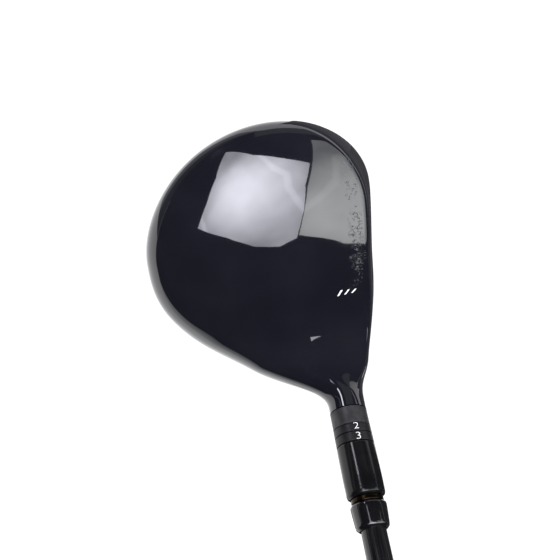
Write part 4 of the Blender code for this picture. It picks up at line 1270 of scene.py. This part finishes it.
def make_club():
    make_body()
    make_crown()
    make_face()
    make_slot_filler()
    make_badge()
    make_weight()
    make_rings()
    make_sleeve()
    make_ferrule()
    make_bolt()
    make_shaft()
    make_grip()
    make_cap()
    make_marks()
    make_crown_marks()


make_club()

INSIDE = {
    "hosel_tube": "inner_steel",
    "rear_weight_pad": "inner_steel",
    "toe_rib": "inner_steel",
    "heel_rib": "inner_steel",
    "bolt_washer": "bolt_steel",
    "bolt_retainer": "black_polymer",
    "sleeve_insert": "inner_steel",
    "tip_plug": "black_polymer",
    "grip_tape": "grip_tape",
    "weight_washer": "black_polymer",
}
for node, slot in INSIDE.items():
    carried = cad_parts[node]
    if not carried.data.materials:
        carried.data.materials.append(LOOKS[slot])
    for place in carried.material_slots:
        place.material = LOOKS[slot]


# ---- stage, light and camera ----


def stage_mesh(name, points, faces):
    mesh = bpy.data.meshes.new(name)
    mesh.from_pydata(points, [], faces)
    piece = bpy.data.objects.new(name, mesh)
    bpy.context.scene.collection.objects.link(piece)
    return piece


def emitting(name, colour, strength):
    look = bpy.data.materials.new(name)
    look.use_nodes = True
    nodes, links = look.node_tree.nodes, look.node_tree.links
    nodes.clear()
    glow = nodes.new("ShaderNodeEmission")
    glow.inputs["Color"].default_value = (*colour, 1)
    glow.inputs["Strength"].default_value = strength
    out = nodes.new("ShaderNodeOutputMaterial")
    links.new(glow.outputs[0], out.inputs["Surface"])
    return look


FLOOR_DROP = 0.0006  # metres under the sole, to leave room for the cards


def make_floor(half=3.0):
    """A pale floor that glows a little, as a lit table does, so that it is nearly shadowless."""
    floor = stage_mesh(
        "floor", [(-half, -half, 0), (half, -half, 0), (half, half, 0), (-half, half, 0)], [(0, 1, 2, 3)]
    )
    floor.location.z = -FLOOR_DROP
    look = bpy.data.materials.new("floor_white")
    look.use_nodes = True
    shader = look.node_tree.nodes["Principled BSDF"]
    shader.inputs["Base Color"].default_value = (0.12, 0.12, 0.12, 1)
    shader.inputs["Roughness"].default_value = 0.9
    shader.inputs["Specular IOR Level"].default_value = 0.1
    shader.inputs["Emission Color"].default_value = (1, 1, 1, 1)
    shader.inputs["Emission Strength"].default_value = 0.95
    floor.data.materials.append(look)


def toward_sky(azimuth, elevation):
    """The direction at this azimuth, from +X toward +Y, and elevation, in degrees."""
    a, e = radians(azimuth), radians(elevation)
    return np.array([cos(e) * cos(a), cos(e) * sin(a), sin(e)])


def glowing(name, colour, hot, high, low, near, far):
    """A diffuser lit from behind about one spot, dimmer away from it, with a few soft folds."""
    look, n = new_look(name, 1.0, (0, 0, 0), 0.0, Specular_IOR_Level=0.0)
    n.shader.inputs["Emission Color"].default_value = (*colour, 1)
    place = n.place()
    away = n.add("VectorMath", operation="DISTANCE")
    n.wire(place, away.inputs[0])
    away.inputs[1].default_value = tuple(hot)
    folds = n.add("TexWave", wave_type="BANDS", bands_direction="DIAGONAL")
    for socket, number in (("Scale", 0.55), ("Distortion", 2.5), ("Detail", 0.0)):
        folds.inputs[socket].default_value = number
    n.wire(place, folds.inputs["Vector"])
    crease = n.steps(folds.outputs["Fac"], 0.97, 1.0, 0.0, 0.12 * high)
    cloud = n.steps(n.noise(place, 2.4, 2.0), 0.3, 0.7, -0.08 * high, 0.08 * high)
    spot = n.steps(away.outputs["Value"], near, far, high, low)
    n.set("Emission Strength", n.sums("ADD", spot, n.sums("ADD", crease, cloud)))
    return look


def stage_light(name, points, look):
    """A staged emitter, a fan about its own centre, that is reflected but isn't seen itself."""
    points = [np.array(p, float) for p in points]
    fan = [np.mean(points, axis=0)] + points
    count = len(points)
    faces = [(0, 1 + k, 1 + (k + 1) % count) for k in range(count)]
    light = stage_mesh(name, [tuple(p) for p in fan], faces)
    light.data.materials.append(look)
    light.visible_camera = False
    light.visible_shadow = False


def far_points(corners):
    """Points in these (azimuth, elevation) directions, far round the head."""
    return [STAGE_CENTRE + toward_sky(*corner) * STAGE_DISTANCE for corner in corners]


def upright_panel(azimuths, elevations):
    """Corners of a panel between two azimuths and two elevations."""
    (a, b), (low, high) = azimuths, elevations
    return [(a, low), (b, low), (b, high), (a, high)]


STAGE_CENTRE, STAGE_DISTANCE = np.array([-0.03, 0.02, 0.03]), 1.2
LAVENDER, NEUTRAL = (0.9, 0.9, 1.0), (0.97, 1.0, 0.99)
TALL_LEVEL, TOE_WALL_LEVEL = 10.0, 0.2
HEEL_WALL_LEVELS = {(-3, 4): 0.8, (4, 8): 0.6, (8, 12): 0.42, (12, 16): 0.25}  # by elevations


def make_windows():
    """Two large diffusers over the crown, a tall narrow light, and pale walls low at both ends."""
    left = [(115, 21), (97, 44), (75, 51), (53, 51), (40, 63), (13, 69), (-30, 69), (-51, 72)]
    left += [(-88, 78), (-166, 76), (170, 56), (146, 54), (128, 45)]
    right = [(63, 27), (51, 51), (37, 63), (11, 69), (-25, 69), (-25, 58), (-25, 50), (-16, 17), (35, 12)]
    left_hot, right_hot = far_points([(105, 68), (1, 53)])
    left_glow = glowing("left_glow", LAVENDER, left_hot, high=11.5, low=3.8, near=0.1, far=0.7)
    right_glow = glowing("right_glow", NEUTRAL, right_hot, high=4.4, low=1.5, near=0.15, far=0.8)
    stage_light("left_window", far_points(left), left_glow)
    stage_light("right_window", far_points(right), right_glow)

    tall = upright_panel((117, 124), (3, 16))
    stage_light("tall_light", far_points(tall), emitting("tall_glow", LAVENDER, TALL_LEVEL))
    for k, ((low, high), level) in enumerate(HEEL_WALL_LEVELS.items()):
        wall = [(-150 + 3 * low, low), (-92, low), (-92, high), (-150 + 3 * high, high)]
        name = "heel_wall_%d" % (k + 1)
        stage_light(name, far_points(wall), emitting(name, NEUTRAL, level))
    toe_wall = upright_panel((58, 102), (-3, 15))
    stage_light("toe_wall", far_points(toe_wall), emitting("toe_wall_glow", NEUTRAL, TOE_WALL_LEVEL))


CARD_BLUE = 1.1  # how much stronger blue is in a card


def make_flag(name, corners, level):
    """A dark card that shows only in reflections."""
    flag = stage_mesh(name, corners, [tuple(range(len(corners)))])
    flag.data.materials.append(emitting(name, (level, level, level * CARD_BLUE), 1.0))
    flag.visible_camera = False
    flag.visible_diffuse = False
    flag.visible_shadow = False


def upright_card(start, end, low, high):
    """Corners of a card that stands over the line from start to end, between two heights."""
    return [(*start, low), (*end, low), (*end, high), (*start, high)]


def make_flags():
    """Dark cards over the neck, at the rim and by the ferrule, and dim parts of the floor."""
    over_neck = [(-0.04, -0.046), (-0.008, -0.046), (-0.008, -0.031), (0.002, -0.031), (0.002, -0.036),
                 (0.06, -0.036), (0.06, -0.006), (-0.04, -0.006)]
    by_face = [(0.0, -0.08), (0.15, -0.08), (0.15, 0.09), (-0.012, 0.09)]
    past_heel = [(-0.045, -1.5), (1.5, -1.5), (1.5, 0.6), (0.3, 0.1), (0.11, -0.06), (0.07, -0.1),
                 (0.04, -0.125), (-0.045, -0.14)]
    behind = [(-0.085, 0.03), (-0.06, 0.055), (-0.045, 0.09), (-0.045, 1.5), (-1.5, 1.5), (-1.5, 0.0)]
    far_behind = [(-0.11, 0.03), (-0.085, 0.085), (-0.07, 0.13), (-0.06, 1.5), (-1.5, 1.5), (-1.5, 0.0)]
    cards = (
        ("neck_flag", over_neck, 0.047, 0.012),
        ("face_flag", by_face, -0.0003, 0.09),
        ("heel_flag", past_heel, -0.0004, 0.05),
        ("far_flag", far_behind, -0.0002, 0.1),
        ("near_flag", behind, -0.0004, 0.38),
    )
    for name, outline, z, level in cards:
        make_flag(name, [(x, y, z) for x, y in outline], level)
    make_flag("rim_flag", upright_card((-0.1, 0.041), (-0.031, 0.0805), 0.022, 0.036), 0.03)
    make_flag("ferrule_flag", upright_card((-0.015, -0.03), (0.06, -0.03), 0.084, 0.115), 0.02)


def make_world():
    """Dim surroundings for light and reflections, and a pale backdrop for the camera."""
    world = bpy.data.worlds.new("studio")
    bpy.context.scene.world = world
    world.use_nodes = True
    nodes, links = world.node_tree.nodes, world.node_tree.links
    dim, output = nodes["Background"], nodes["World Output"]
    dim.inputs["Color"].default_value = (0.022, 0.022, 0.025, 1)
    pale = nodes.new("ShaderNodeBackground")
    pale.inputs["Color"].default_value = (0.9, 0.9, 0.91, 1)
    path, mixed = nodes.new("ShaderNodeLightPath"), nodes.new("ShaderNodeMixShader")
    links.new(path.outputs["Is Camera Ray"], mixed.inputs[0])
    links.new(dim.outputs[0], mixed.inputs[1])
    links.new(pale.outputs[0], mixed.inputs[2])
    links.new(mixed.outputs[0], output.inputs["Surface"])


make_floor()
make_windows()
make_flags()
make_world()
scene = bpy.context.scene
scene.view_settings.view_transform = "Standard"

CAMERA_AT = (-0.0516, 0.0860, 0.2637)
TILT_X, TILT_Y, ROLL = radians(7.0), radians(21.8), radians(-5.0)
FOCAL, SENSOR = 45.0, 36.0


def make_camera():
    back = Vector((-sin(TILT_X), cos(TILT_X) * sin(TILT_Y), cos(TILT_X) * cos(TILT_Y)))
    up = Vector((0, cos(TILT_Y), -sin(TILT_Y)))
    right = up.cross(back)
    turned_right = right * cos(ROLL) + up * sin(ROLL)
    turned_up = up * cos(ROLL) - right * sin(ROLL)
    lens = bpy.data.cameras.new("camera")
    lens.lens, lens.sensor_width = FOCAL, SENSOR
    lens.clip_start, lens.clip_end = 0.005, 50
    camera = bpy.data.objects.new("camera", lens)
    rows = zip(turned_right, turned_up, back, CAMERA_AT)
    camera.matrix_world = Matrix([*(list(row) for row in rows), [0, 0, 0, 1]])
    scene.collection.objects.link(camera)
    scene.camera = camera


make_camera()
